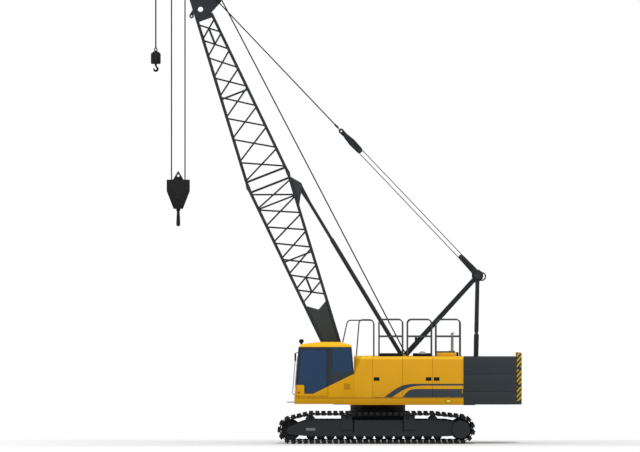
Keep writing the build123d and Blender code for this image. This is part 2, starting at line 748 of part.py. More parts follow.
with BuildPart() as cab:
    extrude(cab_outline(side_plane(CAB_OUT), 0), amount=-(CAB_IN - CAB_OUT))
    extrude(
        cab_outline(side_plane(CAB_OUT + CAB_SKIN), CAB_SKIN),
        amount=-(CAB_IN - CAB_OUT - 2 * CAB_SKIN),
        mode=Mode.SUBTRACT,
    )
    with BuildSketch(side_plane(CAB_OUT)):
        Polygon(*DOOR_PROFILE, align=None)
        offset(amount=DOOR_GAP, mode=Mode.REPLACE, kind=Kind.INTERSECTION)
    extrude(amount=-CAB_SKIN, mode=Mode.SUBTRACT)
    extrude(pane(side_plane(CAB_OUT), SIDE_WINDOW, 40), amount=-CAB_SKIN, mode=Mode.SUBTRACT)
    extrude(
        pane(side_plane(CAB_IN - CAB_SKIN), RIGHT_WINDOW, 40),
        amount=-CAB_SKIN,
        mode=Mode.SUBTRACT,
    )
    for x, low, high in (
        (CAB_FRONT, FRONT_WINDOW_LOW, FRONT_WINDOW_HIGH),
        (CAB_REAR, REAR_WINDOW_LOW, REAR_WINDOW_HIGH),
    ):
        with Locations((x, CAB_MID, low)):
            Box(500, end_opening, high - low, align=FLOOR, mode=Mode.SUBTRACT)
save(cab, "cab_shell")

with BuildPart() as cab_glass:
    glass_low = side_plane(CAB_OUT + GLASS_SET)
    extrude(pane(glass_low, SIDE_WINDOW, 40), amount=-GLASS)
    extrude(pane(side_plane(CAB_IN - GLASS_SET - GLASS), RIGHT_WINDOW, 40), amount=-GLASS)
    add(end_pane(CAB_FRONT, FRONT_WINDOW_LOW, FRONT_WINDOW_HIGH))
    add(end_pane(CAB_REAR, REAR_WINDOW_LOW, REAR_WINDOW_HIGH))
save(cab_glass, "cab_glass")

with BuildPart() as cab_door:
    with BuildSketch(side_plane(CAB_OUT)):
        Polygon(*DOOR_PROFILE, align=None)
    extrude(amount=-CAB_SKIN)
    extrude(pane(side_plane(CAB_OUT), DOOR_WINDOW, 40), amount=-CAB_SKIN, mode=Mode.SUBTRACT)
save(cab_door, "cab_door")
with BuildPart() as door_glass:
    extrude(pane(side_plane(CAB_OUT + GLASS_SET), DOOR_WINDOW, 40), amount=-GLASS)
save(door_glass, "cab_door_glass")

CAB_FLOOR = DECK_TOP + CAB_SKIN
with BuildPart() as seat:
    with BuildSketch(Plane.XY.offset(CAB_FLOOR)):
        with Locations((-1300, CAB_MID)):
            Rectangle(400, 400)
    extrude(amount=360, taper=6)
    with BuildSketch(side_plane(CAB_MID)) as cushion:
        Polygon(
            (-1590, 1694),
            (-1590, 1790),
            (-1560, 1810),
            (-1190, 1800),
            (-1130, 2380),
            (-1080, 2440),
            (-1010, 2420),
            (-1060, 1694),
            align=None,
        )
    extrude(amount=240, both=True)
save(seat, "operator_seat")

with BuildPart() as console:
    with BuildSketch(side_plane(CAB_MID)):
        Polygon(
            (-2170, CAB_FLOOR),
            (-2170, 1850),
            (-2100, 1960),
            (-1950, 1880),
            (-1920, CAB_FLOOR),
            align=None,
        )
    extrude(amount=250, both=True)
save(console, "control_console")

# On the cab: a round lamp on the roof, a grab rail with a mirror, and a step at the front.
LAMP_X, LAMP_Y, LAMP_R = -2150, -1500, 70
LAMP_FOOT_R = 30
roof_slope = (CAB_PROFILE[3][1] - CAB_PROFILE[2][1]) / (CAB_PROFILE[3][0] - CAB_PROFILE[2][0])
lamp_z = CAB_PROFILE[2][1] + (LAMP_X + LAMP_FOOT_R - CAB_PROFILE[2][0]) * roof_slope + SEAT
GRAB_OUT, GRAB_Y, GRAB_R = 62, -1560, 16
GRAB_LOW, GRAB_HIGH = 1380, 2560
STEP_FRONT, STEP_Z = -2565, 1150
MIRROR_Z = 2430
LAMP_SHOULDER, LAMP_BROW = 50, 105
with BuildPart() as cab_fittings:
    for low, rise, taper in (
        (LAMP_SHOULDER, -LAMP_SHOULDER, 38),
        (LAMP_SHOULDER, LAMP_BROW - LAMP_SHOULDER, 0),
        (LAMP_BROW, 40, 45),
    ):
        with BuildSketch(Plane.XY.offset(lamp_z + low)):
            with Locations((LAMP_X, LAMP_Y)):
                RegularPolygon(LAMP_R, 10)
        extrude(amount=rise, taper=taper)
    with BuildLine() as grab_line:
        Polyline(
            (cab_front(GRAB_HIGH - GRAB_R) - SEAT, GRAB_Y, GRAB_HIGH),
            (cab_front(GRAB_HIGH) - GRAB_OUT + 40, GRAB_Y, GRAB_HIGH),
            (cab_front(GRAB_HIGH - 80) - GRAB_OUT, GRAB_Y, GRAB_HIGH - 80),
            (cab_front(GRAB_LOW + 50) - GRAB_OUT, GRAB_Y, GRAB_LOW + 50),
            (cab_front(GRAB_LOW) - GRAB_OUT + 30, GRAB_Y, GRAB_LOW),
            (cab_front(GRAB_LOW - GRAB_R) - SEAT, GRAB_Y, GRAB_LOW),
        )
    with BuildSketch(Plane(origin=grab_line.line @ 0, z_dir=grab_line.line % 0)):
        RegularPolygon(GRAB_R, 6)
    sweep(path=grab_line.line, transition=Transition.RIGHT)
    with Locations((cab_front(MIRROR_Z) - GRAB_OUT, GRAB_Y, MIRROR_Z)):
        Box(60, 180, 240)
    with Locations((STEP_FRONT, CAB_MID, STEP_Z)):
        Box(165, 500, 30, align=(Align.MIN, Align.CENTER, Align.MIN))
        with GridLocations(1, 400, 1, 2):
            Box(
                CAB_FRONT - SEAT - STEP_FRONT,
                30,
                60,
                align=(Align.MIN, Align.CENTER, Align.MIN),
            )
save(cab_fittings, "cab_fittings")

# Handrails: bent loops on the roofs, the front pair sloping down at their front.
RAIL_R = 18
RAIL_CORNER = 90
RAIL_Y = 1600
RAIL_HIGH, RAIL_MID = HOUSE_TOP + 1029, HOUSE_TOP + 555
RAILS = (
    # low x, high x
    (34, 698),
    (833, 1509),
    (1633, 2314),
)
FRONT_RAILS = (
    # y, foot x, foot z, shoulder x, rear x
    (-RAIL_Y, -988, 2845, -853, -113),
    (RAIL_Y, -600, HOUSE_TOP, -520, -113),
)


def rail(y, points):
    """A bent tube through the given points at one side of the crane."""
    with BuildLine() as line:
        Polyline(*[(x, y, z) for x, z in points])
    with BuildSketch(Plane(origin=line.line @ 0, z_dir=line.line % 0)) as section:
        RegularPolygon(RAIL_R, 4)
    return sweep(section.sketch, path=line.line, transition=Transition.RIGHT, mode=Mode.PRIVATE)


with BuildPart() as handrails:
    for y in (-RAIL_Y, RAIL_Y):
        for low_x, high_x in RAILS:
            tube = rail(
                y,
                (
                    (low_x, HOUSE_TOP),
                    (low_x, RAIL_HIGH - RAIL_CORNER),
                    (low_x + RAIL_CORNER, RAIL_HIGH),
                    (high_x - RAIL_CORNER, RAIL_HIGH),
                    (high_x, RAIL_HIGH - RAIL_CORNER),
                    (high_x, HOUSE_TOP),
                ),
            )
            middle = bar(Vector(low_x, y, RAIL_MID), Vector(high_x, y, RAIL_MID), RAIL_R, 4)
            add([tube, middle])
    for y, foot_x, foot_z, shoulder_x, rear_x in FRONT_RAILS:
        add(
            rail(
                y,
                (
                    (foot_x, foot_z),
                    (shoulder_x, RAIL_HIGH - 14),
                    (rear_x - RAIL_CORNER, RAIL_HIGH - 14),
                    (rear_x, RAIL_HIGH - 14 - RAIL_CORNER),
                    (rear_x, HOUSE_TOP),
                ),
            )
        )
save(handrails, "handrails")

# Boom: two sections of four chords, laced on all four sides and pinned end to end.
BUTT_STATIONS = (2450, 2880, 3350, 3830, 4340, 4840, 5370)
TOP_STATIONS = (6220, 6800, 7475, 8100, 8710, 9285, 9870, 10390, 10840)
LACE_GAP = 22
JOINT_PIN_R = 26
FORK_IN, FORK_OUT = 14, 30


def chords(low, high):
    """The four chord tubes between two places along the boom."""
    return [
        square_bar(
            chord_point(low, rear, right), chord_point(high, rear, right), CHORD_R, ACROSS
        )
        for rear in (-1, 1)
        for right in (-1, 1)
    ]


def ring_of_bars(along, half):
    """A square of bars across the boom."""
    corners = [(-1, -1), (-1, 1), (1, 1), (1, -1)]
    return [
        square_bar(chord_point(along, *first), chord_point(along, *second), half, ALONG)
        for first, second in zip(corners, corners[1:] + corners[:1])
    ]


def zigzag(stations):
    """Lacing on all four sides, from chord to chord, and each side against its opposite."""
    tubes = []
    for number, (low, high) in enumerate(zip(stations, stations[1:])):
        way = -1 if number % 2 == 0 else 1
        for first, second, across in (
            ((way, -1), (-way, -1), ACROSS),
            ((-way, 1), (way, 1), ACROSS),
            ((-1, way), (-1, -way), REARWARD),
            ((1, -way), (1, way), REARWARD),
        ):
            start = chord_point(low + LACE_GAP, *first)
            end = chord_point(high - LACE_GAP, *second)
            tubes.append(square_bar(start, end, LACE_R, across))
    return tubes


def carrier(first, second):
    """Two short bars along the boom, each between the middles of two diagonals."""
    return [
        square_bar(
            boom_point(first, 0, right * half_width(first)),
            boom_point(second, 0, right * half_width(second)),
            FRAME_R,
            ACROSS,
        )
        for right in (-1, 1)
    ]


def joint_plates(inner, outer, far_along, pin_r):
    """Plates at the four chord ends, from a chord to the pin of the joint."""
    plates = []
    for rear in (-1, 1):
        centre = rear * half_depth(JOINT_AT)
        for right in (-1, 1):
            for low in (inner, -outer) if inner > 0 else (-outer,):
                level = right * half_width(JOINT_AT) + low
                side = boom_side.offset(level)
                thick = outer - inner if inner > 0 else 2 * outer
                outline = hull_of(
                    side,
                    (JOINT_AT, centre, pin_r + 30),
                    (far_along, rear * half_depth(far_along), CHORD_R - 4),
                )
                plates.append(extrude(outline, amount=thick, mode=Mode.PRIVATE))
    return plates


def joint_pins(radius, half):
    """Round pins through the four joints."""
    pins = []
    for rear in (-1, 1):
        for right in (-1, 1):
            level = right * half_width(JOINT_AT) - half
            with BuildSketch(boom_side.offset(level)) as section:
                with Locations((JOINT_AT, rear * half_depth(JOINT_AT))):
                    RegularPolygon(radius, FIXED_SIDES)
            pins.append(extrude(section.sketch, amount=2 * half, mode=Mode.PRIVATE))
    return pins


PLATE_HALF = 12
NOTCH_DEPTH = 170
BOSS_HALF = 50
BRACKET_Y, BRACKET_HALF = WIDTH_JOINT - 48, 17
with BuildPart() as boom_butt:
    add(chords(60, BUTT_END + 20) + ring_of_bars(BUTT_STATIONS[-1], LACE_R))
    add(ring_of_bars(BUTT_END - 40, FRAME_R) + ring_of_bars(3720, LACE_R))
    add(zigzag(BUTT_STATIONS) + carrier(2665, 3115))
    add(zigzag((BUTT_STATIONS[-1], BUTT_END - 80)))
    add(joint_plates(FORK_IN, FORK_OUT, BUTT_END - 20, JOINT_PIN_R))
    add(joint_pins(JOINT_PIN_R, FORK_OUT))
    for right in (-1, 1):
        with BuildSketch(boom_side.offset(right * half_width(PLATE_END / 2))):
            Polygon(
                (0, -half_depth(0)),
                (PLATE_END + 70, -half_depth(PLATE_END)),
                (PLATE_END - NOTCH_DEPTH, 0),
                (PLATE_END, half_depth(PLATE_END)),
                (0, half_depth(0)),
                align=None,
            )
        extrude(amount=PLATE_HALF, both=True)
        with BuildSketch(boom_side.offset(right * WIDTH_FOOT)):
            RegularPolygon(FOOT_BOSS_R, 16)
            Rectangle(420, 240, align=(Align.MIN, Align.CENTER))
        extrude(amount=BOSS_HALF, both=True)
        bracket = hull_of(
            boom_side.offset(right * BRACKET_Y - BRACKET_HALF),
            (STOP_AT, STOP_REAR, 90),
            (5900, half_depth(5900), 30),
            (5060, half_depth(5060), 30),
        )
        extrude(bracket, amount=2 * BRACKET_HALF)
    with BuildSketch(boom_side):
        with Locations((700, 0)):
            RegularPolygon(60, 12)
    extrude(amount=WIDTH_FOOT, both=True)
    with BuildSketch(boom_side):
        Circle(FOOT_PIN_R + FIT)
    extrude(amount=HOUSE_HALF, both=True, mode=Mode.SUBTRACT)
save(boom_butt, "boom_butt")

HEAD_PROFILE = (
    (10860, -270),
    (11020, 225),
    (11240, 600),
    (11400, 690),
    (11560, 640),
    (11900, 300),
    (12190, 240),
    (13060, 150),
    (13060, -150),
    (11570, -216),
)
HEAD_HOLE_AT, HEAD_HOLE_REAR, HEAD_HOLE_R = 11210, -26, 75
TIP_PLATE_Y, TIP_PLATE_HALF = 53, 8
HEAD_SHAFT_R = 40
with BuildPart() as boom_top:
    add(chords(TOP_START - 20, HEAD_AT + 100) + ring_of_bars(TOP_START + 60, FRAME_R))
    add(ring_of_bars(8630, LACE_R) + zigzag(TOP_STATIONS) + carrier(10130, 10615))
    add(joint_plates(0, FORK_IN - SEAT, TOP_START + 20, JOINT_PIN_R))
    for right in (-1, 1):
        with BuildSketch(boom_side.offset(right * WIDTH_HEAD)):
            Polygon(*HEAD_PROFILE, align=None)
        extrude(amount=HEAD_PLATE / 2, both=True)
    with BuildSketch(boom_side):
        with Locations((HEAD_HOLE_AT, HEAD_HOLE_REAR)):
            Circle(HEAD_HOLE_R)
        with Locations(*[(JOINT_AT, rear * half_depth(JOINT_AT)) for rear in (-1, 1)]):
            RegularPolygon(JOINT_PIN_R + SEAT, FIXED_SIDES)
    extrude(amount=HOUSE_HALF, both=True, mode=Mode.SUBTRACT)
    with BuildSketch(boom_side):
        with Locations((BOOM_LENGTH, 0), (GUIDE_AT, GUIDE_REAR)):
            RegularPolygon(HEAD_PIN_R, FIXED_SIDES)
        with Locations((HEAD_HOLE_AT + 350, -150), (STAY_AT, STAY_REAR)):
            RegularPolygon(HEAD_SHAFT_R, 10)
    extrude(amount=WIDTH_HEAD, both=True)
    for middle in (-TIP_PLATE_Y, TIP_PLATE_Y):
        outline = hull_of(
            boom_side.offset(middle - TIP_PLATE_HALF), (BOOM_LENGTH, 0, 110), (TIP_AT, TIP_REAR, 80)
        )
        extrude(outline, amount=2 * TIP_PLATE_HALF)
    with BuildSketch(boom_side):
        with Locations((TIP_AT, TIP_REAR)):
            RegularPolygon(TIP_PIN_R, FIXED_SIDES)
    extrude(amount=TIP_PLATE_Y, both=True)
save(boom_top, "boom_top")

# Rope wheels at the boom's head and at its tip.
head_axis = boom_point(BOOM_LENGTH, 0, 0)
tip_axis = boom_point(TIP_AT, TIP_REAR, 0)
guide_axis = boom_point(GUIDE_AT, GUIDE_REAR, 0)
with BuildPart() as sheaves:
    for y in SHEAVES_Y:
        add(sheave(head_axis, y, HEAD_PIN_R + SEAT))
    add(sheave(tip_axis, 0, TIP_PIN_R + SEAT))
    add(sheave(guide_axis, 0, HEAD_PIN_R + SEAT))
save(sheaves, "boom_sheaves")

# Main hook: four rope falls, a block of cheek plates round two wheels, and the hook.
BLOCK_TOP, BLOCK_LOW = 7415, 6590
BLOCK_SHOULDER = 7090
BLOCK_AXLE_Z = 6930
BLOCK_HALF = 325
BLOCK_FOOT = 130
BLOCK_LUG_TOP = 7666
BLOCK_PLATES_Y = (-178, -58, 58, 178)
with BuildPart() as falls:
    for y in SHEAVES_Y:
        for side in (-SHEAVE_R, SHEAVE_R):
            x = head_axis.X + side
            add(bar(Vector(x, y, BLOCK_AXLE_Z), Vector(x, y, head_axis.Z), ROPE_R, 8))
save(falls, "main_rope_falls")

with BuildPart() as block:
    for y in BLOCK_PLATES_Y:
        with BuildSketch(side_plane(y - PLATE_HALF)):
            with Locations((head_axis.X, 0)):
                Polygon(
                    (-BLOCK_HALF, BLOCK_TOP),
                    (BLOCK_HALF, BLOCK_TOP),
                    (BLOCK_HALF, BLOCK_SHOULDER),
                    (BLOCK_FOOT, BLOCK_LOW),
                    (-BLOCK_FOOT, BLOCK_LOW),
                    (-BLOCK_HALF, BLOCK_SHOULDER),
                    align=None,
                )
                if abs(y) < SHEAVES_Y[1]:
                    Polygon((-150, BLOCK_TOP), (0, BLOCK_LUG_TOP), (150, BLOCK_TOP), align=None)
                if abs(y) < SHEAVES_Y[1]:
                    with Locations((0, BLOCK_TOP + 110)):
                        RegularPolygon(35, 10, mode=Mode.SUBTRACT)
        extrude(amount=-2 * PLATE_HALF)
    with BuildSketch(Plane.XZ):
        with Locations((head_axis.X, BLOCK_AXLE_Z)):
            RegularPolygon(HEAD_PIN_R, FIXED_SIDES)
    extrude(amount=BLOCK_PLATES_Y[-1] + PLATE_HALF + 20, both=True)
    with Locations((head_axis.X, 0, BLOCK_LOW)):
        Box(160, 2 * BLOCK_PLATES_Y[-1], 110, align=FLOOR)
    for y in SHEAVES_Y:
        add(sheave(Vector(head_axis.X, 0, BLOCK_AXLE_Z), y))
save(block, "main_hook_block")


def hook(plane, shank_top, bowl, outer, inner, thick, shank):
    """A crane hook drawn on a plane, its bowl at the given height and its eye line at zero."""
    with BuildSketch(plane) as outline:
        with Locations((0, bowl)):
            RegularPolygon(outer, 18)
        with Locations((-inner * 0.12, bowl)):
            RegularPolygon(inner, 12, mode=Mode.SUBTRACT)
        with Locations((0, bowl)):
            Polygon(
                (0, 0),
                (-2 * outer, 0.25 * outer),
                (-2 * outer, 2 * outer),
                (0, 2 * outer),
                align=None,
                mode=Mode.SUBTRACT,
            )
        with Locations((0, bowl + inner * 0.9)):
            Rectangle(2 * shank, shank_top - bowl - inner * 0.9, align=(Align.CENTER, Align.MIN))
    with BuildPart(mode=Mode.PRIVATE) as made:
        extrude(outline.sketch, amount=thick / 2, both=True)
    return made.part


HOOK_BOWL_Z = 6290
with BuildPart() as main_hook:
    add(hook(Plane.YZ.offset(head_axis.X), BLOCK_LOW - SEAT, HOOK_BOWL_Z, 178, 92, 100, 40))
save(main_hook, "main_hook")

# Second hook: one fall from the tip, a heavy body with sloped shoulders, and its hook.
AUX_LOW, AUX_SHOULDER, AUX_TOP = 10669, 10960, 11049
AUX_ROPE_END = 11133
AUX_BODY_R = 140
aux_x = tip_axis.X - SHEAVE_R
with BuildPart() as aux_rope:
    add(bar(Vector(aux_x, 0, AUX_ROPE_END), Vector(aux_x, 0, tip_axis.Z), ROPE_R, 8))
save(aux_rope, "auxiliary_rope_fall")
with BuildPart() as ball:
    for low, high, taper in (
        (AUX_LOW, AUX_SHOULDER, 0),
        (AUX_SHOULDER, AUX_TOP, 46),
    ):
        with BuildSketch(Plane.XY.offset(low)):
            with Locations((aux_x, 0)):
                RegularPolygon(AUX_BODY_R, 16)
        extrude(amount=high - low, taper=taper)
    with BuildSketch(Plane.XY.offset(AUX_LOW)):
        with Locations((aux_x, 0)):
            RegularPolygon(32, 12)
    extrude(amount=AUX_ROPE_END - AUX_LOW)
    hook_plane = Plane(origin=(aux_x, 0, 0), x_dir=(1, 0, 0), z_dir=(0, -1, 0))
    add(hook(hook_plane, AUX_LOW + 10, 10546, 100, 52, 70, 24))
save(ball, "auxiliary_hook_ball")

# Boom suspension: lower bail on the gantry's pin, floating bail and two rope pendants.
stay_lug = boom_point(STAY_AT, STAY_REAR, 0)
stay_pivot = Vector(BRIDLE_X, 0, BRIDLE_Z)
stay_line = (stay_lug - stay_pivot).normalized()
stay_side = Plane(stay_pivot, stay_line, ACROSS)
stay_length = (stay_lug - stay_pivot).length
BAIL_Y = 300
BAIL_THICK = 30
LOWER_TIP = 575
FLOAT_LOW, FLOAT_PIN = 4640, 5400
BRIDLE_PIN_R = 40
PENDANT_Y = 445
PENDANT_THICK = 24
PENDANT_R = 20
with BuildPart() as lower_bail:
    for side in (-BAIL_Y, BAIL_Y):
        outline = hull_of(
            stay_side.offset(side - BAIL_THICK / 2), (0, 0, 95), (LOWER_TIP - 75, 0, 75)
        )
        extrude(outline, amount=BAIL_THICK)
    with BuildSketch(stay_side):
        with Locations((LOWER_TIP - 75, 0)):
            RegularPolygon(45, 12)
    extrude(amount=BAIL_Y, both=True)
    with BuildSketch(stay_side):
        Circle(BRIDLE_PIN_R + FIT)
    extrude(amount=HOUSE_HALF, both=True, mode=Mode.SUBTRACT)
save(lower_bail, "lower_bail")

with BuildPart() as floating_bail:
    for side in (-BAIL_Y, BAIL_Y):
        outline = hull_of(
            stay_side.offset(side - BAIL_THICK / 2), (FLOAT_LOW, 0, 70), (FLOAT_PIN, 0, 80)
        )
        extrude(outline, amount=BAIL_THICK)
    for along, half in ((FLOAT_LOW, BAIL_Y), (FLOAT_PIN, PENDANT_Y + PENDANT_THICK)):
        with BuildSketch(stay_side):
            with Locations((along, 0)):
                RegularPolygon(BRIDLE_PIN_R, FIXED_SIDES)
        extrude(amount=half, both=True)
save(floating_bail, "floating_bail")

SOCKET_LENGTH = 260
with BuildPart() as pendants:
    for side in (-1, 1):
        low = side * PENDANT_Y - PENDANT_THICK / 2
        for along, way in ((FLOAT_PIN, 1), (stay_length, -1)):
            outline = hull_of(
                stay_side.offset(low), (along, 0, 70), (along + way * SOCKET_LENGTH, 0, 26)
            )
            extrude(outline, amount=PENDANT_THICK)
        shift = Vector(0, side * PENDANT_Y, 0)
        add(
            bar(
                stay_pivot + stay_line * (FLOAT_PIN + SOCKET_LENGTH - 60) + shift,
                stay_pivot + stay_line * (stay_length - SOCKET_LENGTH + 60) + shift,
                PENDANT_R,
                8,
            )
        )
        eye = stay_side.offset(side * (WIDTH_HEAD + HEAD_PLATE / 2 + SEAT))
        with BuildSketch(eye):
            with Locations((stay_length, 0)):
                RegularPolygon(36, 10)
        extrude(amount=side * (PENDANT_Y - WIDTH_HEAD - HEAD_PLATE / 2))
    with BuildSketch(stay_side):
        with Locations((FLOAT_PIN, 0)):
            RegularPolygon(BRIDLE_PIN_R + SEAT, FIXED_SIDES)
    extrude(amount=HOUSE_HALF, both=True, mode=Mode.SUBTRACT)
save(pendants, "pendants")

# Backstops: telescopic struts between the webs' top pin and the boom's rear chords.
stop_pin = boom_point(STOP_AT, STOP_REAR, 0)
stop_foot = Vector(STRUT_X, 0, STRUT_Z)
stop_line = (stop_pin - stop_foot).normalized()
stop_side = Plane(stop_foot, stop_line, ACROSS)
stop_length = (stop_pin - stop_foot).length
TUBE_R = 60
ROD_R = 45
TUBE_START, TUBE_END = 160, 3900
ROD_START, ROD_END = 2600, 5080
ROD_EYE_THICK = 46


def along_stop(start, end, radius, right):
    """A round part of a backstop between two places along it."""
    shift = Vector(0, right * STRUT_Y, 0)
    return bar(stop_foot + stop_line * start + shift, stop_foot + stop_line * end + shift, radius, 8)


with BuildPart() as tubes:
    for right in (-1, 1):
        add(along_stop(TUBE_START - 40, TUBE_END, TUBE_R, right))
        add(along_stop(TUBE_START, TUBE_END, ROD_R + SEAT, right), mode=Mode.SUBTRACT)
        low = right * STRUT_Y - BOSS_HALF
        extrude(hull_of(stop_side.offset(low), (0, 0, 100), (200, 0, 50)), amount=2 * BOSS_HALF)
    with BuildSketch(stop_side):
        Circle(STRUT_PIN_R + FIT)
    extrude(amount=HOUSE_HALF, both=True, mode=Mode.SUBTRACT)
save(tubes, "backstop_tubes")

with BuildPart() as rods:
    for right in (-1, 1):
        add(along_stop(ROD_START, ROD_END, ROD_R, right))
        eye_low = right * STRUT_Y - ROD_EYE_THICK / 2
        outline = hull_of(
            stop_side.offset(eye_low), (ROD_END - 60, 0, 40), (stop_length, 0, 80)
        )
        extrude(outline, amount=ROD_EYE_THICK)
        pin_start = right * (BRACKET_Y - BRACKET_HALF - SEAT)
        with BuildSketch(stop_side.offset(pin_start)):
            with Locations((stop_length, 0)):
                RegularPolygon(35, 10)
        extrude(amount=-(pin_start - right * STRUT_Y))
save(rods, "backstop_rods")
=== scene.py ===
import json
import math

import bmesh
import bpy
from mathutils import Matrix, Vector

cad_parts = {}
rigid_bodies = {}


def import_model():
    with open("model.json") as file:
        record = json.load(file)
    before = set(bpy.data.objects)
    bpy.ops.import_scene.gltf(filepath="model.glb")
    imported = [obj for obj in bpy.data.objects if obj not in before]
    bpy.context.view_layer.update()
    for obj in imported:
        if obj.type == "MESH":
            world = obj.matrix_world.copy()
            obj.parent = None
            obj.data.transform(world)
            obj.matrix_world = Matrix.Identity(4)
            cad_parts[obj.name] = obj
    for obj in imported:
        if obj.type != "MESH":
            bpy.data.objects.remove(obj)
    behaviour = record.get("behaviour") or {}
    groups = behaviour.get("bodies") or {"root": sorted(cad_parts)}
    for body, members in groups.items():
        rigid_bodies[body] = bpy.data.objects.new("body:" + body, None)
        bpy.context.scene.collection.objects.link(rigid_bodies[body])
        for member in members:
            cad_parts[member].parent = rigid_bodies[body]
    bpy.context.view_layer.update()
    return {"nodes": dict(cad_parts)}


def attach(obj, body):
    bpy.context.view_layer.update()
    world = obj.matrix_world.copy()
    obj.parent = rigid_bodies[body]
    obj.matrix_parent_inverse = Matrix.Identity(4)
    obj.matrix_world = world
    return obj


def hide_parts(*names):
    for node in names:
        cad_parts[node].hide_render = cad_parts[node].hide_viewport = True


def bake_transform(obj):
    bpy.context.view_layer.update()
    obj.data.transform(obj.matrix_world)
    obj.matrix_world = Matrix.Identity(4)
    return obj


for leftover in list(bpy.data.objects):
    bpy.data.objects.remove(leftover)
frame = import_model()

# Track frames.
# Welded steel boxes with cheek plates that carry the rollers, the idlers and the final
# drives; painted dark grey and dusty from the ground. The solids are shown as they are.


def linear(red, green, blue):
    """Turns a colour as it is seen, 0 to 255, into the renderer's linear one."""
    made = []
    for value in (red, green, blue):
        share = value / 255
        made.append(share / 12.92 if share <= 0.04045 else ((share + 0.055) / 1.055) ** 2.4)
    return (*made, 1.0)


def group_of_nodes(name, kind, inputs, outputs):
    """Starts a node group; returns it with what comes into it and what goes out."""
    group = bpy.data.node_groups.new(name, kind)
    for label, socket, value in inputs:
        made = group.interface.new_socket(label, in_out="INPUT", socket_type=f"NodeSocket{socket}")
        if value is not None:
            made.default_value = value
    for label, socket in outputs:
        group.interface.new_socket(label, in_out="OUTPUT", socket_type=f"NodeSocket{socket}")
    return group, group.nodes.new("NodeGroupInput").outputs, group.nodes.new("NodeGroupOutput").inputs


def feed(tree, sockets, values):
    """Gives inputs their values, or links them where the value is another node's output."""
    for label, value in values.items():
        if isinstance(value, bpy.types.NodeSocket):
            tree.links.new(value, sockets[label])
        else:
            sockets[label].default_value = value


def node_in(tree, kind, inputs=None, **settings):
    """Adds a node with its settings and its inputs."""
    made = tree.nodes.new(kind)
    for label, value in settings.items():
        setattr(made, label, value)
    feed(tree, made.inputs, inputs or {})
    return made


def figure(tree, operation, *terms):
    """One arithmetic step in a shader tree; the terms are outputs or numbers."""
    return node_in(tree, "ShaderNodeMath", dict(enumerate(terms)), operation=operation).outputs["Value"]


def two_colours(tree, mask, first, second, blend="MIX"):
    """Mixes two colours, given as outputs or as values, by a mask."""
    inputs = {"Factor": mask, "A": first, "B": second}
    return node_in(tree, "ShaderNodeMix", inputs, data_type="RGBA", blend_type=blend).outputs["Result"]


def place_of(tree):
    """The X, Y and Z of a point on a piece, in metres."""
    spot = node_in(tree, "ShaderNodeTexCoord").outputs["Object"]
    return node_in(tree, "ShaderNodeSeparateXYZ", {"Vector": spot}).outputs


# The worn surface: broad fading of the colour, fine orange peel, and dust that settles low.
PATCHES, GRAIN = 1.3, 60
PEEL_DEPTH, GRAIN_ROUGHNESS = 0.002, 0.12
FADED = (0.55, 0.55, 0.55, 1)
DUST = linear(84, 80, 72)
worn_surface, worn_in, worn_out = group_of_nodes(
    "Worn surface",
    "ShaderNodeTree",
    [
        ("Colour", "Color", None),
        ("Fading", "Float", 0.12),
        ("Dust", "Float", 0.2),
        ("Dust Height", "Float", 1.0),
        ("Roughness", "Float", 0.45),
        ("Peel", "Float", 0.1),
    ],
    [("Colour", "Color"), ("Roughness", "Float"), ("Normal", "Vector")],
)
spot = node_in(worn_surface, "ShaderNodeTexCoord").outputs["Object"]
broad = node_in(worn_surface, "ShaderNodeTexNoise", {"Vector": spot, "Scale": PATCHES, "Detail": 6})
fine = node_in(worn_surface, "ShaderNodeTexNoise", {"Vector": spot, "Scale": GRAIN, "Detail": 3})
grain = fine.outputs["Fac"]
patches = node_in(
    worn_surface, "ShaderNodeMapRange", {"Value": broad.outputs["Fac"], "From Min": 0.3, "From Max": 0.7}
).outputs["Result"]
fade = figure(worn_surface, "MULTIPLY", patches, worn_in["Fading"])
faded = two_colours(worn_surface, fade, worn_in["Colour"], FADED, blend="MULTIPLY")
low_down = node_in(
    worn_surface,
    "ShaderNodeMapRange",
    {"Value": place_of(worn_surface)["Z"], "From Max": worn_in["Dust Height"], "To Min": 1, "To Max": 0},
).outputs["Result"]
dust = figure(worn_surface, "MULTIPLY", figure(worn_surface, "MULTIPLY", low_down, patches), worn_in["Dust"])
peel = node_in(
    worn_surface, "ShaderNodeBump", {"Height": grain, "Strength": worn_in["Peel"], "Distance": PEEL_DEPTH}
)
feed(
    worn_surface,
    worn_out,
    {
        "Colour": two_colours(worn_surface, dust, faded, DUST),
        "Roughness": figure(worn_surface, "MULTIPLY_ADD", grain, GRAIN_ROUGHNESS, worn_in["Roughness"]),
        "Normal": peel.outputs["Normal"],
    },
)


def finish_of(
    name, colour, fading=0.12, dust=0.1, dust_height=3.0, roughness=0.5, peel=0.2, metallic=0.0, gloss=0.12
):
    """A material for this machine: the worn surface on a plain shader."""
    made = bpy.data.materials.new(name)
    made.use_nodes = True
    wear = {
        "Colour": colour,
        "Fading": fading,
        "Dust": dust,
        "Dust Height": dust_height,
        "Roughness": roughness,
        "Peel": peel,
    }
    worn = node_in(made.node_tree, "ShaderNodeGroup", wear, name="Worn surface", node_tree=worn_surface)
    shown = {
        "Base Color": worn.outputs["Colour"],
        "Roughness": worn.outputs["Roughness"],
        "Normal": worn.outputs["Normal"],
        "Metallic": metallic,
        "Specular IOR Level": gloss,
    }
    feed(made.node_tree, made.node_tree.nodes["Principled BSDF"].inputs, shown)
    return made


def paint(node, material):
    """Gives a carried-over solid its finish."""
    for slot in frame["nodes"][node].material_slots:
        slot.material = material


frame_grey = finish_of("Frame grey", linear(37, 42, 46), 0.3, 0.12, dust_height=0.7, peel=0.15)
for node in ("track_frame_left", "track_frame_right"):
    paint(node, frame_grey)

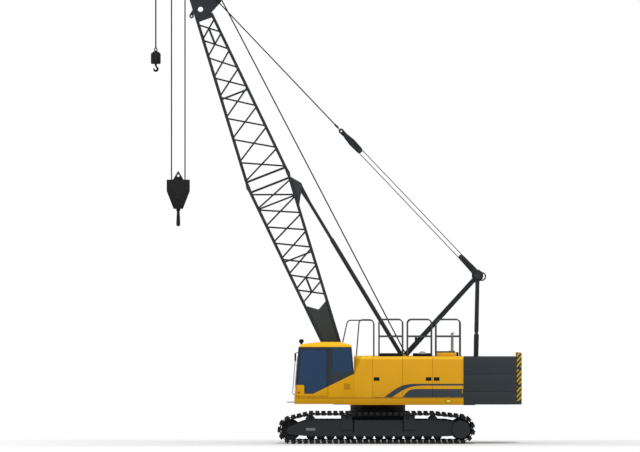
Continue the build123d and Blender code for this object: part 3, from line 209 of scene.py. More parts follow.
# Track shoes.
# Cast steel pads on a closed chain, one long loop a side over idler, rollers and tumbler.
# Each pad is bolted to two chain links; they are grey-brown with ground dust.

SIDES = ((-1, "left"), (1, "right"))
SHOE_PITCH, SHOE_WIDTH = 0.17, 0.76
LINK_Y, LINK_HALF, NOSE_HALF = 0.105, 0.028, 0.018
TRACK_MID = 1.77
TOUCHING = 1e-5
# The wheels that the chain runs over: x, z and radius.
IDLER = (-2.443, 0.380, 0.275)
TUMBLER = (2.328, 0.405, 0.300)
SUPPORTS = ((-1.900, 0.627, 0.160), (1.554, 0.627, 0.160))


def new_object(name, data):
    """Puts mesh data into an object of its own at the origin."""
    made = bpy.data.objects.new(name, data)
    bpy.context.collection.objects.link(made)
    return made


def marks(name, points, edges=()):
    """An object of bare points and edges, for a geometry tree to work on."""
    data = bpy.data.meshes.new(name)
    data.from_pydata(points, edges, [])
    return new_object(name, data)


def plain_mesh(name, source):
    """Turns an object with live modifiers into a plain mesh object and removes the first."""
    graph = bpy.context.evaluated_depsgraph_get()
    graph.update()
    mesh = bpy.data.meshes.new_from_object(source.evaluated_get(graph))
    bpy.data.objects.remove(source)
    return new_object(name, mesh)


def grown(name, source, group, **values):
    """Runs a geometry tree on an object with the given inputs and keeps the plain mesh."""
    modifier = source.modifiers.new("grow", "NODES")
    modifier.node_group = group
    names = {item.name: item.identifier for item in group.interface.items_tree if item.in_out == "INPUT"}
    for label, value in values.items():
        modifier[names[label]] = value
    return plain_mesh(name, source)


def end_of_tree(tree, geometry, material, sockets):
    """Ends a geometry tree: real geometry in its material goes out."""
    real = node_in(tree, "GeometryNodeRealizeInstances", {"Geometry": geometry})
    coat = {"Geometry": real.outputs["Geometry"], "Material": material}
    coated = node_in(tree, "GeometryNodeSetMaterial", coat)
    feed(tree, sockets, {"Geometry": coated.outputs["Geometry"]})


def from_bmesh(name, mesh):
    """Puts a bmesh into an object of its own."""
    data = bpy.data.meshes.new(name)
    mesh.to_mesh(data)
    mesh.free()
    return new_object(name, data)


def smooth_by_angle(thing, angle=35):
    """Shades a piece smooth but keeps its sharp edges."""
    for polygon in thing.data.polygons:
        polygon.use_smooth = True
    thing.data.set_sharp_from_angle(angle=math.radians(angle))


def fit(thing, material, slot, body, *nodes):
    """Gives a piece its material and its body (none leaves it unparented) and hides the solids it stands for;
    the slot is not used.
    """
    if not thing.data.materials:
        thing.data.materials.append(material)
    if body:
        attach(thing, body)
    if nodes:
        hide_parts(*nodes)
    return thing


def block(mesh, low, high, bevel=0.0):
    """Adds a box between two corners, with small bevels on its edges."""
    made = bmesh.ops.create_cube(mesh, size=1)
    for vertex in made["verts"]:
        for axis in range(3):
            middle, size = (low[axis] + high[axis]) / 2, high[axis] - low[axis]
            vertex.co[axis] = middle + vertex.co[axis] * size
    if bevel:
        edges = {edge for vertex in made["verts"] for edge in vertex.link_edges}
        bmesh.ops.bevel(mesh, geom=list(edges), offset=bevel, segments=2, affect="EDGES")


def walls(mesh, one, two):
    """The faces between two closed rims with as many corners each."""
    return [mesh.faces.new(corners) for corners in zip(one, one[1:] + one[:1], two[1:] + two[:1], two)]


def turns(count):
    """The angles of so many equal steps round a circle."""
    return [2 * math.pi * step / count for step in range(count)]


def stretched_round(discs, steps=48):
    """The points of a line stretched round discs (x, z, radius) seen from the side."""
    corners = []
    for x, z, radius in discs:
        for turn in turns(steps):
            corners.append((x + radius * math.cos(turn), z + radius * math.sin(turn)))
    corners.sort()
    outline = []
    for run in (corners, corners[::-1]):
        side = []
        for point in run:
            while len(side) > 1:
                (ax, az), (bx, bz) = side[-2], side[-1]
                if (bx - ax) * (point[1] - az) - (bz - az) * (point[0] - ax) > 0:
                    break
                side.pop()
            side.append(point)
        outline += side[:-1]
    return outline


shoe_row, row_in, row_out = group_of_nodes(
    "Shoes along a loop",
    "GeometryNodeTree",
    [
        ("Geometry", "Geometry", None),
        ("Shoe", "Object", None),
        ("Count", "Int", 65),
        ("Material", "Material", None),
    ],
    [("Geometry", "Geometry")],
)
loop = node_in(shoe_row, "GeometryNodeMeshToCurve", {"Mesh": row_in["Geometry"]})
evenly = node_in(
    shoe_row, "GeometryNodeResampleCurve", {"Curve": loop.outputs["Curve"], "Count": row_in["Count"]}
)
heading = node_in(shoe_row, "GeometryNodeInputTangent")
turn_to = node_in(
    shoe_row,
    "FunctionNodeAxesToRotation",
    {"Primary Axis": heading.outputs["Tangent"], "Secondary Axis": (0, 1, 0)},
    primary_axis="X",
    secondary_axis="Y",
)
pad = node_in(shoe_row, "GeometryNodeObjectInfo", {"Object": row_in["Shoe"]})
put = node_in(
    shoe_row,
    "GeometryNodeInstanceOnPoints",
    {
        "Points": evenly.outputs["Curve"],
        "Instance": pad.outputs["Geometry"],
        "Rotation": turn_to.outputs["Rotation"],
    },
)
end_of_tree(shoe_row, put.outputs["Instances"], row_in["Material"], row_out)

track_steel = finish_of(
    "Track steel", linear(25, 25, 26), 0.35, 0.05, dust_height=1.0, roughness=0.6, peel=0.5, metallic=0.1
)
shoe = bmesh.new()
half = [
    (0.038, -0.004), (0.046, -0.012), (0.052, -0.045), (0.062, -0.075), (0.060, -0.092), (0.050, -0.100),
]
profile = [(-x, z) for x, z in half] + half[::-1]
ends = [[shoe.verts.new((x, side * SHOE_WIDTH / 2, z)) for x, z in profile] for side, _ in SIDES]
walls(shoe, *ends)
for end in ends:
    shoe.faces.new(end)
for side, _ in SIDES:
    y = side * LINK_Y
    block(shoe, (-0.086, y - LINK_HALF, -0.045), (0.060, y + LINK_HALF, -0.008))
    block(shoe, (0.020, y - NOSE_HALF, -0.040), (0.092, y + NOSE_HALF, -0.014))
bmesh.ops.recalc_face_normals(shoe, faces=shoe.faces)
shoe_form = from_bmesh("shoe_form", shoe)
loop_points = stretched_round((IDLER, TUMBLER, *SUPPORTS))
loop_length = sum(math.dist(a, b) for a, b in zip(loop_points, loop_points[1:] + loop_points[:1]))
for side, name in SIDES:
    count = len(loop_points)
    path = marks(
        "track_path",
        [(x, side * TRACK_MID, z) for x, z in loop_points],
        [(step, (step + 1) % count) for step in range(count)],
    )
    shoe_count = round(loop_length / SHOE_PITCH)
    shoes = grown(f"shoes_{name}", path, shoe_row, Shoe=shoe_form, Count=shoe_count, Material=track_steel)
    smooth_by_angle(shoes, 30)
    fit(shoes, track_steel, "track_steel", "undercarriage", f"track_{name}")
bpy.data.objects.remove(shoe_form)

# Lower rollers.
# Turned steel rollers with a flange at each end, one row between the cheeks of each frame;
# they run on plain bearings and carry the crane on the chain.

ROLLER_R, ROLLER_PITCH, ROLLER_COUNT = 0.1245, 0.273, 14
ROLLERS_X, ROLLER_Z = -0.106, 0.2303


def piece(name, mesh, material, slot, body, *nodes, angle=35):
    """Makes a finished piece of a bmesh, smooth but for its sharp edges, or flat with no angle."""
    made = from_bmesh(name, mesh)
    if angle:
        smooth_by_angle(made, angle)
    return fit(made, material, slot, body, *nodes)


def mirrored(half):
    """A turned profile from its half: the places along the axis also count below nought."""
    return [(-along, radius) for along, radius in half] + list(half[::-1])


def turned(mesh, centre, profile, across="Y", segments=32):
    """Adds a turned form: profile is a closed list of (place along the axis, radius)."""
    rings = []
    for turn in turns(segments):
        ring = []
        for along, radius in profile:
            side, up = radius * math.cos(turn), radius * math.sin(turn)
            offset = {"X": (along, side, up), "Y": (side, along, up), "Z": (side, up, along)}[across]
            ring.append(mesh.verts.new(Vector(centre) + Vector(offset)))
        rings.append(ring)
    faces = []
    for one, two in zip(rings, rings[1:] + rings[:1]):
        faces += walls(mesh, one, two)
    bmesh.ops.remove_doubles(mesh, verts=[vertex for ring in rings for vertex in ring], dist=TOUCHING)
    bmesh.ops.recalc_face_normals(mesh, faces=[face for face in faces if face.is_valid])


roller_places = [
    ROLLERS_X + (number - (ROLLER_COUNT - 1) / 2) * ROLLER_PITCH for number in range(ROLLER_COUNT)
]
half = (
    (0.175, 0.0), (0.175, 0.060), (0.150, 0.085), (0.130, ROLLER_R), (0.100, ROLLER_R), (0.085, 0.100),
)
for side, name in SIDES:
    row = bmesh.new()
    for x in roller_places:
        turned(row, (x, side * TRACK_MID, ROLLER_Z), mirrored(half), segments=24)
    stands_for = ["track_rollers"] if side > 0 else []
    piece(f"rollers_{name}", row, track_steel, "track_steel", "undercarriage", *stands_for)

# Idlers and drive tumblers.
# Cast wheels at the ends of each track: the front one runs free, the rear one drives the
# shoes with the lugs on its rim. The driven wheel has a round cover on its outer side.

RIM_HALF, HUB_HALF = 0.146, 0.176
CHAIN_GAP = 0.003
LUG_COUNT, LUGS_R, LUG_R, LUGS_Y = 11, 0.270, 0.030, 0.07


def pin(half, radius, bore=0.0):
    """The profile of a plain pin or, with a bore, of a tube."""
    return ((-half, bore), (-half, radius), (half, radius), (half, bore))


def beside(centre, reach, turn):
    """A point that far from a centre, at an angle seen from the crane's side."""
    return Vector(centre) + Vector((reach * math.cos(turn), 0, reach * math.sin(turn)))


for side, name in SIDES:
    wheel = bmesh.new()
    for (x, z, chain_r), hub in ((IDLER, 0.110), (TUMBLER, 0.150)):
        rim = chain_r - CHAIN_GAP
        half = (
            (HUB_HALF, 0.0), (HUB_HALF, hub - 0.025), (RIM_HALF, hub), (RIM_HALF, rim - 0.010),
            (RIM_HALF - 0.011, rim),
        )
        turned(wheel, (x, side * TRACK_MID, z), mirrored(half), segments=48)
    for turn in turns(LUG_COUNT):
        for shift in (-LUGS_Y, LUGS_Y):
            middle = (TUMBLER[0], side * TRACK_MID + shift, TUMBLER[1])
            turned(wheel, beside(middle, LUGS_R, turn), pin(LUG_R, LUG_R), segments=10)
    stands_for = ("idler_wheels", "drive_tumblers") if side > 0 else ()
    piece(f"end_wheels_{name}", wheel, track_steel, "track_steel", "undercarriage", *stands_for)

# Bolts.
# Hexagon heads with washers hold the covers, the ring and the bearing caps. One tree puts
# them on marked points, each turned to the face it stands on; sizes are shares of the head.

COVER_Y, COVER_BOLTS_R, COVER_BOLT_COUNT = 2.058, 0.20, 12
OUTER_CHEEK_Y, INNER_CHEEK_Y = 1.972, 1.568
PIN_BOLTS_Z, PIN_BOLTS_SHIFT = 0.245, 0.05
FRAME_BOLT, RING_BOLT = 0.026, 0.034
bolt_field, bolts_in, bolts_out = group_of_nodes(
    "Bolts on points",
    "GeometryNodeTree",
    [("Geometry", "Geometry", None), ("Size", "Float", 0.03), ("Material", "Material", None)],
    [("Geometry", "Geometry")],
)
head = node_in(bolt_field, "GeometryNodeMeshCylinder", {"Vertices": 6, "Radius": 0.5, "Depth": 0.7})
washer = node_in(bolt_field, "GeometryNodeMeshCylinder", {"Vertices": 14, "Radius": 0.72, "Depth": 0.24})
both = node_in(bolt_field, "GeometryNodeJoinGeometry")
for part in (head, washer):
    feed(bolt_field, both.inputs, {"Geometry": part.outputs["Mesh"]})
facing = node_in(bolt_field, "GeometryNodeInputNamedAttribute", {"Name": "facing"}, data_type="FLOAT_VECTOR")
align = node_in(
    bolt_field, "FunctionNodeAlignRotationToVector", {"Vector": facing.outputs["Attribute"]}, axis="Z"
)
placed = node_in(
    bolt_field,
    "GeometryNodeInstanceOnPoints",
    {
        "Points": bolts_in["Geometry"],
        "Instance": both.outputs["Geometry"],
        "Rotation": align.outputs["Rotation"],
        "Scale": bolts_in["Size"],
    },
)
end_of_tree(bolt_field, placed.outputs["Instances"], bolts_in["Material"], bolts_out)


def bolts(name, size, material, slot, body, places):
    """Bolt heads on one body: places holds pairs of a point and the way it faces."""
    spots = marks(name, [point for point, _ in places])
    ways = spots.data.attributes.new("facing", "FLOAT_VECTOR", "POINT")
    for item, (_, way) in zip(ways.data, places):
        item.vector = way
    return fit(grown(name, spots, bolt_field, Size=size, Material=material), material, slot, body)


frame_bolts = []
for side, _ in SIDES:
    for turn in turns(COVER_BOLT_COUNT):
        spot = beside((TUMBLER[0], side * COVER_Y, TUMBLER[1]), COVER_BOLTS_R, turn)
        frame_bolts.append((spot, (0, side, 0)))
    for x in roller_places:
        for shift in (-PIN_BOLTS_SHIFT, PIN_BOLTS_SHIFT):
            frame_bolts.append(((x + shift, side * OUTER_CHEEK_Y, PIN_BOLTS_Z), (0, side, 0)))
            frame_bolts.append(((x + shift, side * INNER_CHEEK_Y, PIN_BOLTS_Z), (0, -side, 0)))
dark_fixings = finish_of("Dark fixings", linear(40, 43, 45), 0.3, 0.2, dust_height=1.2, metallic=0.3)
bolts("frame_bolts", FRAME_BOLT, dark_fixings, "frame_paint", "undercarriage", frame_bolts)

# Carbody and slewing ring.
# A welded core with two beams across, and a two-part ring bearing bolted on top of it: the
# lower ring stays with the tracks, and the upper one turns with the house.

FRAME_FACE = 1.9695
# Thin black plates beside the beam seats are painted shadow for the gaps there: their x places, height and
# size.
SHADOW_GAPS_X, SHADOW_GAP_Z, SHADOW_GAP_SIZE = (-0.684, 0.709), 0.487, (0.048, 0.004, 0.326)
RING_BORE, RING_R, RING_EASE = 0.644, 0.774, 0.012
RING_BOLTS_R, RING_BOLTS_Z, RING_BOLT_COUNT = 0.83, 0.898, 36


def block_about(mesh, centre, size, bevel=0.0):
    """Adds a box of a size round its centre."""
    low = [middle - length / 2 for middle, length in zip(centre, size)]
    high = [middle + length / 2 for middle, length in zip(centre, size)]
    block(mesh, low, high, bevel)


paint("carbody", frame_grey)
# Painted shadow: black plates on the frame's faces stand for the shaded gaps next to the beam seats.
shadow_gap_plates = bmesh.new()
for side, _ in SIDES:
    for x in SHADOW_GAPS_X:
        block_about(shadow_gap_plates, (x, side * FRAME_FACE, SHADOW_GAP_Z), SHADOW_GAP_SIZE, 0.0008)
painted_shadow_black = finish_of("Painted shadow black", linear(8, 8, 9), 0.1, 0.05, dust_height=1.0, roughness=0.8)
piece("frame_slots", shadow_gap_plates, painted_shadow_black, "black_paint", "undercarriage", angle=0)
name_plate = bmesh.new()
block(name_plate, (-2.020, -FRAME_FACE - 0.004, 0.372), (-1.760, -FRAME_FACE, 0.444), 0.001)
worn_white = finish_of(
    "Worn white", linear(118, 122, 124), 0.5, 0.3, dust_height=1.0, roughness=0.6, peel=0.3
)
piece("blank_plate", name_plate, worn_white, "frame_paint", "undercarriage", angle=0)
ring_black = finish_of("Ring black", linear(14, 16, 14), 0.2, dust_height=1.4, gloss=0.2)
for name, low, high, body, node in (
    ("ring_lower", 0.895, 0.975, "undercarriage", "lower_ring"),
    ("ring_upper", 0.9753, 1.089, "superstructure", "slew_drum"),
):
    ring, tall = bmesh.new(), high - low
    profile = (
        (0.0, RING_BORE), (0.0, RING_R), (tall - RING_EASE, RING_R), (tall, RING_R - RING_EASE),
        (tall, RING_BORE),
    )
    turned(ring, (0, 0, low), profile, across="Z", segments=96)
    piece(name, ring, ring_black, "black_paint", body, node)
ring_bolts = [
    ((RING_BOLTS_R * math.cos(turn), RING_BOLTS_R * math.sin(turn), RING_BOLTS_Z), (0, 0, 1))
    for turn in turns(RING_BOLT_COUNT)
]
bolts("ring_bolts", RING_BOLT, dark_fixings, "frame_paint", "undercarriage", ring_bolts)

# Revolving frame.
# A welded deck with side sills and two webs, painted in the yellow of the house. A rubber
# seal runs along the joint under the house, and an oval marker lamp sits in the left sill.

HOUSE_Y = 1.650
DECK_REAR, LEFT_SILL_FRONT, RIGHT_SILL_FRONT = 2.397, -2.343, -0.668
SEAL_LOW, SEAL_HIGH, SEAL_OUT = 1.278, 1.290, 0.003
FLAT, SHARP = math.radians(0.5), math.radians(28)
MARKER_X, MARKER_Z = 1.983, 1.194
MARKER_LONG, MARKER_TALL = 0.165, 0.062


def plain_copy(node):
    """A merged copy of a carried-over solid, with its flat areas joined into whole faces."""
    mesh = bmesh.new()
    mesh.from_mesh(frame["nodes"][node].data)
    bmesh.ops.remove_doubles(mesh, verts=mesh.verts, dist=TOUCHING)
    bmesh.ops.dissolve_limit(mesh, angle_limit=FLAT, verts=mesh.verts, edges=mesh.edges)
    return mesh


def eased(node, name, width, material, slot, body):
    """A solid with its sharp edges rounded, as pressed, cast or welded parts have them."""
    mesh = plain_copy(node)
    sharp = [
        edge
        for edge in mesh.edges
        if len(edge.link_faces) == 2 and edge.calc_face_angle(0) > SHARP
    ]
    bmesh.ops.bevel(
        mesh, geom=sharp, offset=width, segments=2, profile=0.6, affect="EDGES", clamp_overlap=True
    )
    return piece(name, mesh, material, slot, body, node, angle=40)


sill_yellow = finish_of("Sill yellow", linear(196, 142, 6), 0.12, 0.12, 1.3, roughness=0.45, peel=0.15)
eased("revolving_frame", "deck_and_webs", 0.008, sill_yellow, "yellow_paint", "superstructure")
black_rubber = finish_of("Black rubber", linear(20, 21, 22), 0.2, roughness=0.75, peel=0.3)
seals = bmesh.new()
for side, front in ((-1, LEFT_SILL_FRONT), (1, RIGHT_SILL_FRONT)):
    face = side * HOUSE_Y
    block(seals, (front, face - SEAL_OUT, SEAL_LOW), (DECK_REAR, face + SEAL_OUT, SEAL_HIGH))
piece("sill_seals", seals, black_rubber, "black_paint", "superstructure", angle=0)
marker_yellow = finish_of("Marker yellow", linear(240, 205, 70), 0.1, 0.1, 1.6, roughness=0.3, peel=0.1)
for name, grow, thick, material in (
    ("marker_rim", 1.25, 0.003, black_rubber),
    ("marker_lamp", 1.0, 0.009, marker_yellow),
):
    oval = bmesh.new()
    made = bmesh.ops.create_cone(oval, cap_ends=True, segments=36, radius1=0.5, radius2=0.46, depth=1.0)
    for vertex in made["verts"]:
        x, y, z = vertex.co
        out = -(HOUSE_Y + thick / 2 + z * thick)
        vertex.co = (MARKER_X + x * MARKER_LONG * grow, out, MARKER_Z + y * MARKER_TALL * grow)
    bmesh.ops.recalc_face_normals(oval, faces=oval.faces)
    piece(name, oval, material, "yellow_paint", "superstructure", angle=0)

# Winch drums.
# Turned steel drums between the webs, each with a flange at either end and laid wire rope
# wound on it; they turn on stub pins in the webs.

DRUM_HALF, AXLE_BORE, AXLE_HALF = 0.450, 0.031, 0.560
RIB_COUNT, RIBS_Y = 6, 0.484
COIL_PITCH, COIL_TURNS = 0.025, 36
# Round the top of one turn of rope: shift along the drum and rise above its core.
COIL_BUMP = ((-0.0125, 0.004), (-0.007, 0.014), (0.0, 0.018), (0.007, 0.014))
drum_grey = finish_of("Drum grey", linear(44, 47, 49), 0.2, roughness=0.45, metallic=0.2)
rope_steel = finish_of("Wire rope", linear(28, 29, 30), 0.3, peel=1.0)
# Each winch is its name, its axle's x and z, and the radii of its core and flanges.
for winch, x, z, core, flange in (
    ("main_winch", 0.780, 1.700, 0.235, 0.320),
    ("auxiliary_winch", 1.520, 1.640, 0.200, 0.290),
    ("boom_winch", 2.180, 1.640, 0.200, 0.290),
):
    drum = bmesh.new()
    half = (
        (AXLE_HALF, AXLE_BORE), (AXLE_HALF, 0.100), (0.550, 0.108), (RIBS_Y, 0.108),
        (0.480, flange * 0.6),
        (0.480, flange - 0.006), (0.474, flange - 0.002), (0.456, flange - 0.002),
        (DRUM_HALF, flange - 0.008), (DRUM_HALF, core - 0.006),
    )
    turned(drum, (x, 0, z), mirrored(half), segments=40)
    for turn in turns(RIB_COUNT):
        for y in (-RIBS_Y, RIBS_Y):
            turned(drum, beside((x, y, z), flange * 0.6, turn), pin(0.010, 0.022), segments=10)
    piece(f"{winch}_turned", drum, drum_grey, "black_paint", winch, f"{winch}_drum")
    coil = bmesh.new()
    profile = [(0.001 - DRUM_HALF, core - 0.008)]
    for number in range(COIL_TURNS):
        middle = (number - (COIL_TURNS - 1) / 2) * COIL_PITCH
        profile += [(middle + shift, core + rise) for shift, rise in COIL_BUMP]
    profile += [(DRUM_HALF - 0.001, core + 0.004), (DRUM_HALF - 0.001, core - 0.008)]
    turned(coil, (x, 0, z), profile, segments=36)
    piece(f"{winch}_rope", coil, rope_steel, "wire_rope", winch, angle=60)

# Machinery houses and doors.
# Pressed sheet covers in yellow with a grey stripe that sweeps up from the sill and runs
# to the rear, painted across the doors as well; lift-out handles and outside hinges.

YELLOW = linear(206, 150, 6)
STRIPE_FOOT = 1.309
STRIPE_TOP, STRIPE_UNDER, SECOND_TOP = 1.683, 1.630, 1.537
SWEEP_BEND, SECOND_BEND = 0.30, 0.20
SIDE_FACES_FROM = 1.56
# Painted highlight: the yellow turns brighter near the top, standing in for the light that falls on the top
# edges and roofs.
ROOF_HIGHLIGHT_Z, HIGHLIGHT_SHARPNESS = 2.355, 20
PAINTED_HIGHLIGHT_YELLOW = linear(244, 190, 34)
HANDLE_Z, HINGE_HEIGHTS = 1.818, (1.46, 1.86, 2.26)
# Each door is its place, its hinge's x and its handle's x.
DOORS = (("front", 0.687, -0.038), ("middle", 0.693, 1.422), ("rear", 2.366, 1.646))
yellow = finish_of("Machine yellow", YELLOW, 0.09, 0.05, 1.6, roughness=0.4, peel=0.1, gloss=0.2)
stripes, stripes_in, stripes_out = group_of_nodes(
    "Sweeping stripes",
    "ShaderNodeTree",
    [("Yellow", "Color", None), ("Grey", "Color", None)],
    [("Colour", "Color")],
)
x_here, y_here, z_here = place_of(stripes)


def leaning_edge(foot_x, slope):
    """How far the surface lies to the rear of a line that leans back from its foot."""
    rise = figure(stripes, "SUBTRACT", z_here, STRIPE_FOOT)
    line = figure(stripes, "MULTIPLY_ADD", rise, slope, foot_x)
    return figure(stripes, "DIVIDE", figure(stripes, "SUBTRACT", x_here, line), math.hypot(1, slope))


def painted_highlight(tree, level, start, paint_colour):
    """A painted highlight where light would catch the pressed top edge: the colour turns brighter above a
    level.
    """
    rise = figure(tree, "MULTIPLY", figure(tree, "SUBTRACT", level, start), HIGHLIGHT_SHARPNESS)
    highlight_share = figure(tree, "MAXIMUM", figure(tree, "MINIMUM", rise, 1), 0)
    return two_colours(tree, highlight_share, paint_colour, PAINTED_HIGHLIGHT_YELLOW)


below_top = figure(stripes, "SUBTRACT", STRIPE_TOP, z_here)
above_under = figure(stripes, "SUBTRACT", z_here, STRIPE_UNDER)
before_inner = figure(stripes, "MULTIPLY", leaning_edge(0.400, 1.49), -1)
first_stripe = figure(
    stripes,
    "MINIMUM",
    figure(stripes, "SMOOTH_MIN", leaning_edge(0.180, 1.325), below_top, SWEEP_BEND),
    figure(stripes, "SMOOTH_MAX", before_inner, above_under, SWEEP_BEND),
)
below_second = figure(stripes, "SUBTRACT", SECOND_TOP, z_here)
second_stripe = figure(stripes, "SMOOTH_MIN", leaning_edge(0.695, 0.78), below_second, SECOND_BEND)
striped = figure(stripes, "GREATER_THAN", figure(stripes, "MAXIMUM", first_stripe, second_stripe), 0)
above_sill = figure(stripes, "GREATER_THAN", z_here, STRIPE_FOOT - 0.005)
on_side = figure(stripes, "GREATER_THAN", figure(stripes, "ABSOLUTE", y_here), SIDE_FACES_FROM)
striped = figure(stripes, "MULTIPLY", figure(stripes, "MULTIPLY", striped, above_sill), on_side)
painted = two_colours(stripes, striped, stripes_in["Yellow"], stripes_in["Grey"])
# The stripes' colour goes out with the painted highlight on the top edges and roofs.
feed(stripes, stripes_out, {"Colour": painted_highlight(stripes, z_here, ROOF_HIGHLIGHT_Z, painted)})

house_yellow = finish_of("House yellow", YELLOW, 0.09, 0.05, 1.6, roughness=0.4, peel=0.1, gloss=0.2)
house_tree = house_yellow.node_tree
sweep = node_in(
    house_tree,
    "ShaderNodeGroup",
    {"Yellow": YELLOW, "Grey": linear(50, 60, 66)},
    name="Sweeping stripes",
    node_tree=stripes,
)
feed(house_tree, house_tree.nodes["Worn surface"].inputs, {"Colour": sweep.outputs["Colour"]})
dull_black = finish_of("Dull black", linear(17, 18, 19), 0.15, roughness=0.6, peel=0.3)
hinge_pins = bmesh.new()
for side_sign, side in SIDES:
    face = side_sign * HOUSE_Y
    eased(f"house_{side}", f"house_{side}_sheet", 0.014, house_yellow, "yellow_paint", "superstructure")
    for place, hinge_x, handle_x in DOORS:
        door = f"door_{side}_{place}"
        eased(door, f"{door}_sheet", 0.006, house_yellow, "yellow_paint", door)
        handle = bmesh.new()
        block_about(handle, (handle_x, face, 1.8155), (0.160, 0.008, 0.101), 0.003)
        block_about(handle, (handle_x + 0.003, face, HANDLE_Z), (0.110, 0.032, 0.040), 0.008)
        turned(handle, (handle_x - 0.058, face, HANDLE_Z), pin(0.014, 0.016), segments=16)
        piece(f"{door}_handle", handle, dull_black, "black_paint", door)
        for z in HINGE_HEIGHTS:
            turned(hinge_pins, (hinge_x, face, z), pin(0.045, 0.011), across="Z", segments=12)
piece("door_hinges", hinge_pins, yellow, "yellow_paint", "superstructure")

# Roofs of the houses.
# Pressed hoods with louvres, rubber walkway strips and a pale plastic filler cover. A steel
# exhaust pipe with a rain flap stands on the right hood; the cast engine lies below.

ROOF, HOOD_TOP = 2.449, 2.574
HOOD_Y, HOOD_HALF, HOOD_FRONT, HOOD_REAR = 1.18, 0.352, 1.650, 2.175
LOUVRES_FROM, LOUVRE_PITCH, LOUVRE, LOUVRE_HALF, LOUVRE_COUNT = 1.700, 0.052, 0.022, 0.26, 9
EXHAUST_X, EXHAUST_Y = 2.103, HOOD_Y
FILLER_X, FILLER_Y = 1.248, -1.19
FLAP_TILT = math.radians(-32)
eased("roof_hoods", "roof_hood_sheets", 0.020, yellow, "yellow_paint", "superstructure")
paint("walkway_strips", black_rubber)
engine_grey = finish_of("Engine grey", linear(96, 98, 95), 0.2, 0.2, dust_height=2.0)
paint("engine_block", engine_grey)
roof_trim = bmesh.new()
for y in (-HOOD_Y, HOOD_Y):
    for side, _ in SIDES:
        edge_y = y + side * HOOD_HALF
        block(roof_trim, (HOOD_FRONT, edge_y - 0.012, 2.552), (HOOD_REAR, edge_y + 0.012, 2.576), 0.004)
    block(roof_trim, (2.215, y - 0.300, ROOF), (2.262, y - 0.140, 2.560), 0.008)
    for number in range(LOUVRE_COUNT):
        x = LOUVRES_FROM + LOUVRE_PITCH * number
        block(roof_trim, (x, y - LOUVRE_HALF, 2.570), (x + LOUVRE, y + LOUVRE_HALF, 2.578), 0.002)
piece("hood_trim", roof_trim, dull_black, "black_paint", "superstructure", angle=0)
pale_plastic = finish_of("Pale plastic", linear(176, 178, 172), 0.08, 0.05, peel=0.1)
filler = bmesh.new()
block(filler, (1.140, FILLER_Y - 0.11, ROOF), (1.355, FILLER_Y + 0.11, 2.560), 0.014)
lid = ((-0.020, 0.0), (-0.020, 0.070), (0.012, 0.066), (0.012, 0.0))
turned(filler, (FILLER_X, FILLER_Y, 2.575), lid, across="Z", segments=28)
piece("filler_cover", filler, pale_plastic, "dark_paint", "superstructure")
exhaust_steel = finish_of(
    "Exhaust steel", linear(170, 170, 168), 0.2, dust_height=3.5, roughness=0.6, peel=0.3
)
pipe = bmesh.new()
profile = (
    (0.0, 0.0), (0.0, 0.088), (0.012, 0.088), (0.020, 0.050), (0.060, 0.040), (0.515, 0.040),
    (0.522, 0.037), (0.515, 0.034), (0.30, 0.034), (0.30, 0.0),
)
turned(pipe, (EXHAUST_X, EXHAUST_Y, HOOD_TOP), profile, across="Z", segments=32)
flap = bmesh.ops.create_cone(pipe, cap_ends=True, segments=28, radius1=0.056, radius2=0.056, depth=0.008)
tilt = Matrix.Translation((EXHAUST_X + 0.008, EXHAUST_Y, 3.118)) @ Matrix.Rotation(FLAP_TILT, 4, "Y")
bmesh.ops.transform(pipe, matrix=tilt, verts=flap["verts"])
block_about(pipe, (EXHAUST_X + 0.057, EXHAUST_Y, 3.085), (0.018, 0.040, 0.050), 0.004)
piece("exhaust_with_flap", pipe, exhaust_steel, "frame_paint", "superstructure", "exhaust_pipe")

# Counterweight.
# Three cast slabs painted dark grey, stacked behind the house. Boards with yellow and black
# stripes stand on the rear corners, in three lengths, with a yellow peg above them.

BOARD_HEIGHTS = ((1.200, 1.600), (1.665, 2.080), (2.145, 2.540))
BOARD_FROM, BOARD_TO = 0.300, 0.500
BOARD_INNER, BOARD_OUTER = 0.001, 0.012
PEG_X, PEG_Y, PEG_Z = 3.960, 1.30, 2.435
CORNER_FRONT, CORNER_REAR = Vector((3.697, -1.650)), Vector((4.037, -1.259))
STRIPES_PER_METRE = 7.0
ballast_grey = finish_of("Ballast grey", linear(45, 51, 55), 0.15, 0.08, dust_height=2.0)
for node in ("counterweight_base", "counterweight_middle", "counterweight_top"):
    eased(node, f"{node}_cast", 0.010, ballast_grey, "counterweight_paint", "superstructure")
hazard = finish_of(
    "Hazard stripes", linear(190, 150, 40), 0.2, dust_height=2.0, roughness=0.45, peel=0.1
)
hazard_tree = hazard.node_tree
_, across_here, up_here = place_of(hazard_tree)
slant = figure(hazard_tree, "ADD", figure(hazard_tree, "ABSOLUTE", across_here), up_here)
phase = figure(hazard_tree, "FRACT", figure(hazard_tree, "MULTIPLY", slant, STRIPES_PER_METRE))
dark_half = figure(hazard_tree, "GREATER_THAN", phase, 0.5)
warning = two_colours(hazard_tree, dark_half, linear(186, 150, 34), linear(40, 38, 30))
feed(hazard_tree, hazard_tree.nodes["Worn surface"].inputs, {"Colour": warning})
along_corner = (CORNER_REAR - CORNER_FRONT).normalized()
outwards = Vector((along_corner.y, -along_corner.x))
boards, pegs = bmesh.new(), bmesh.new()
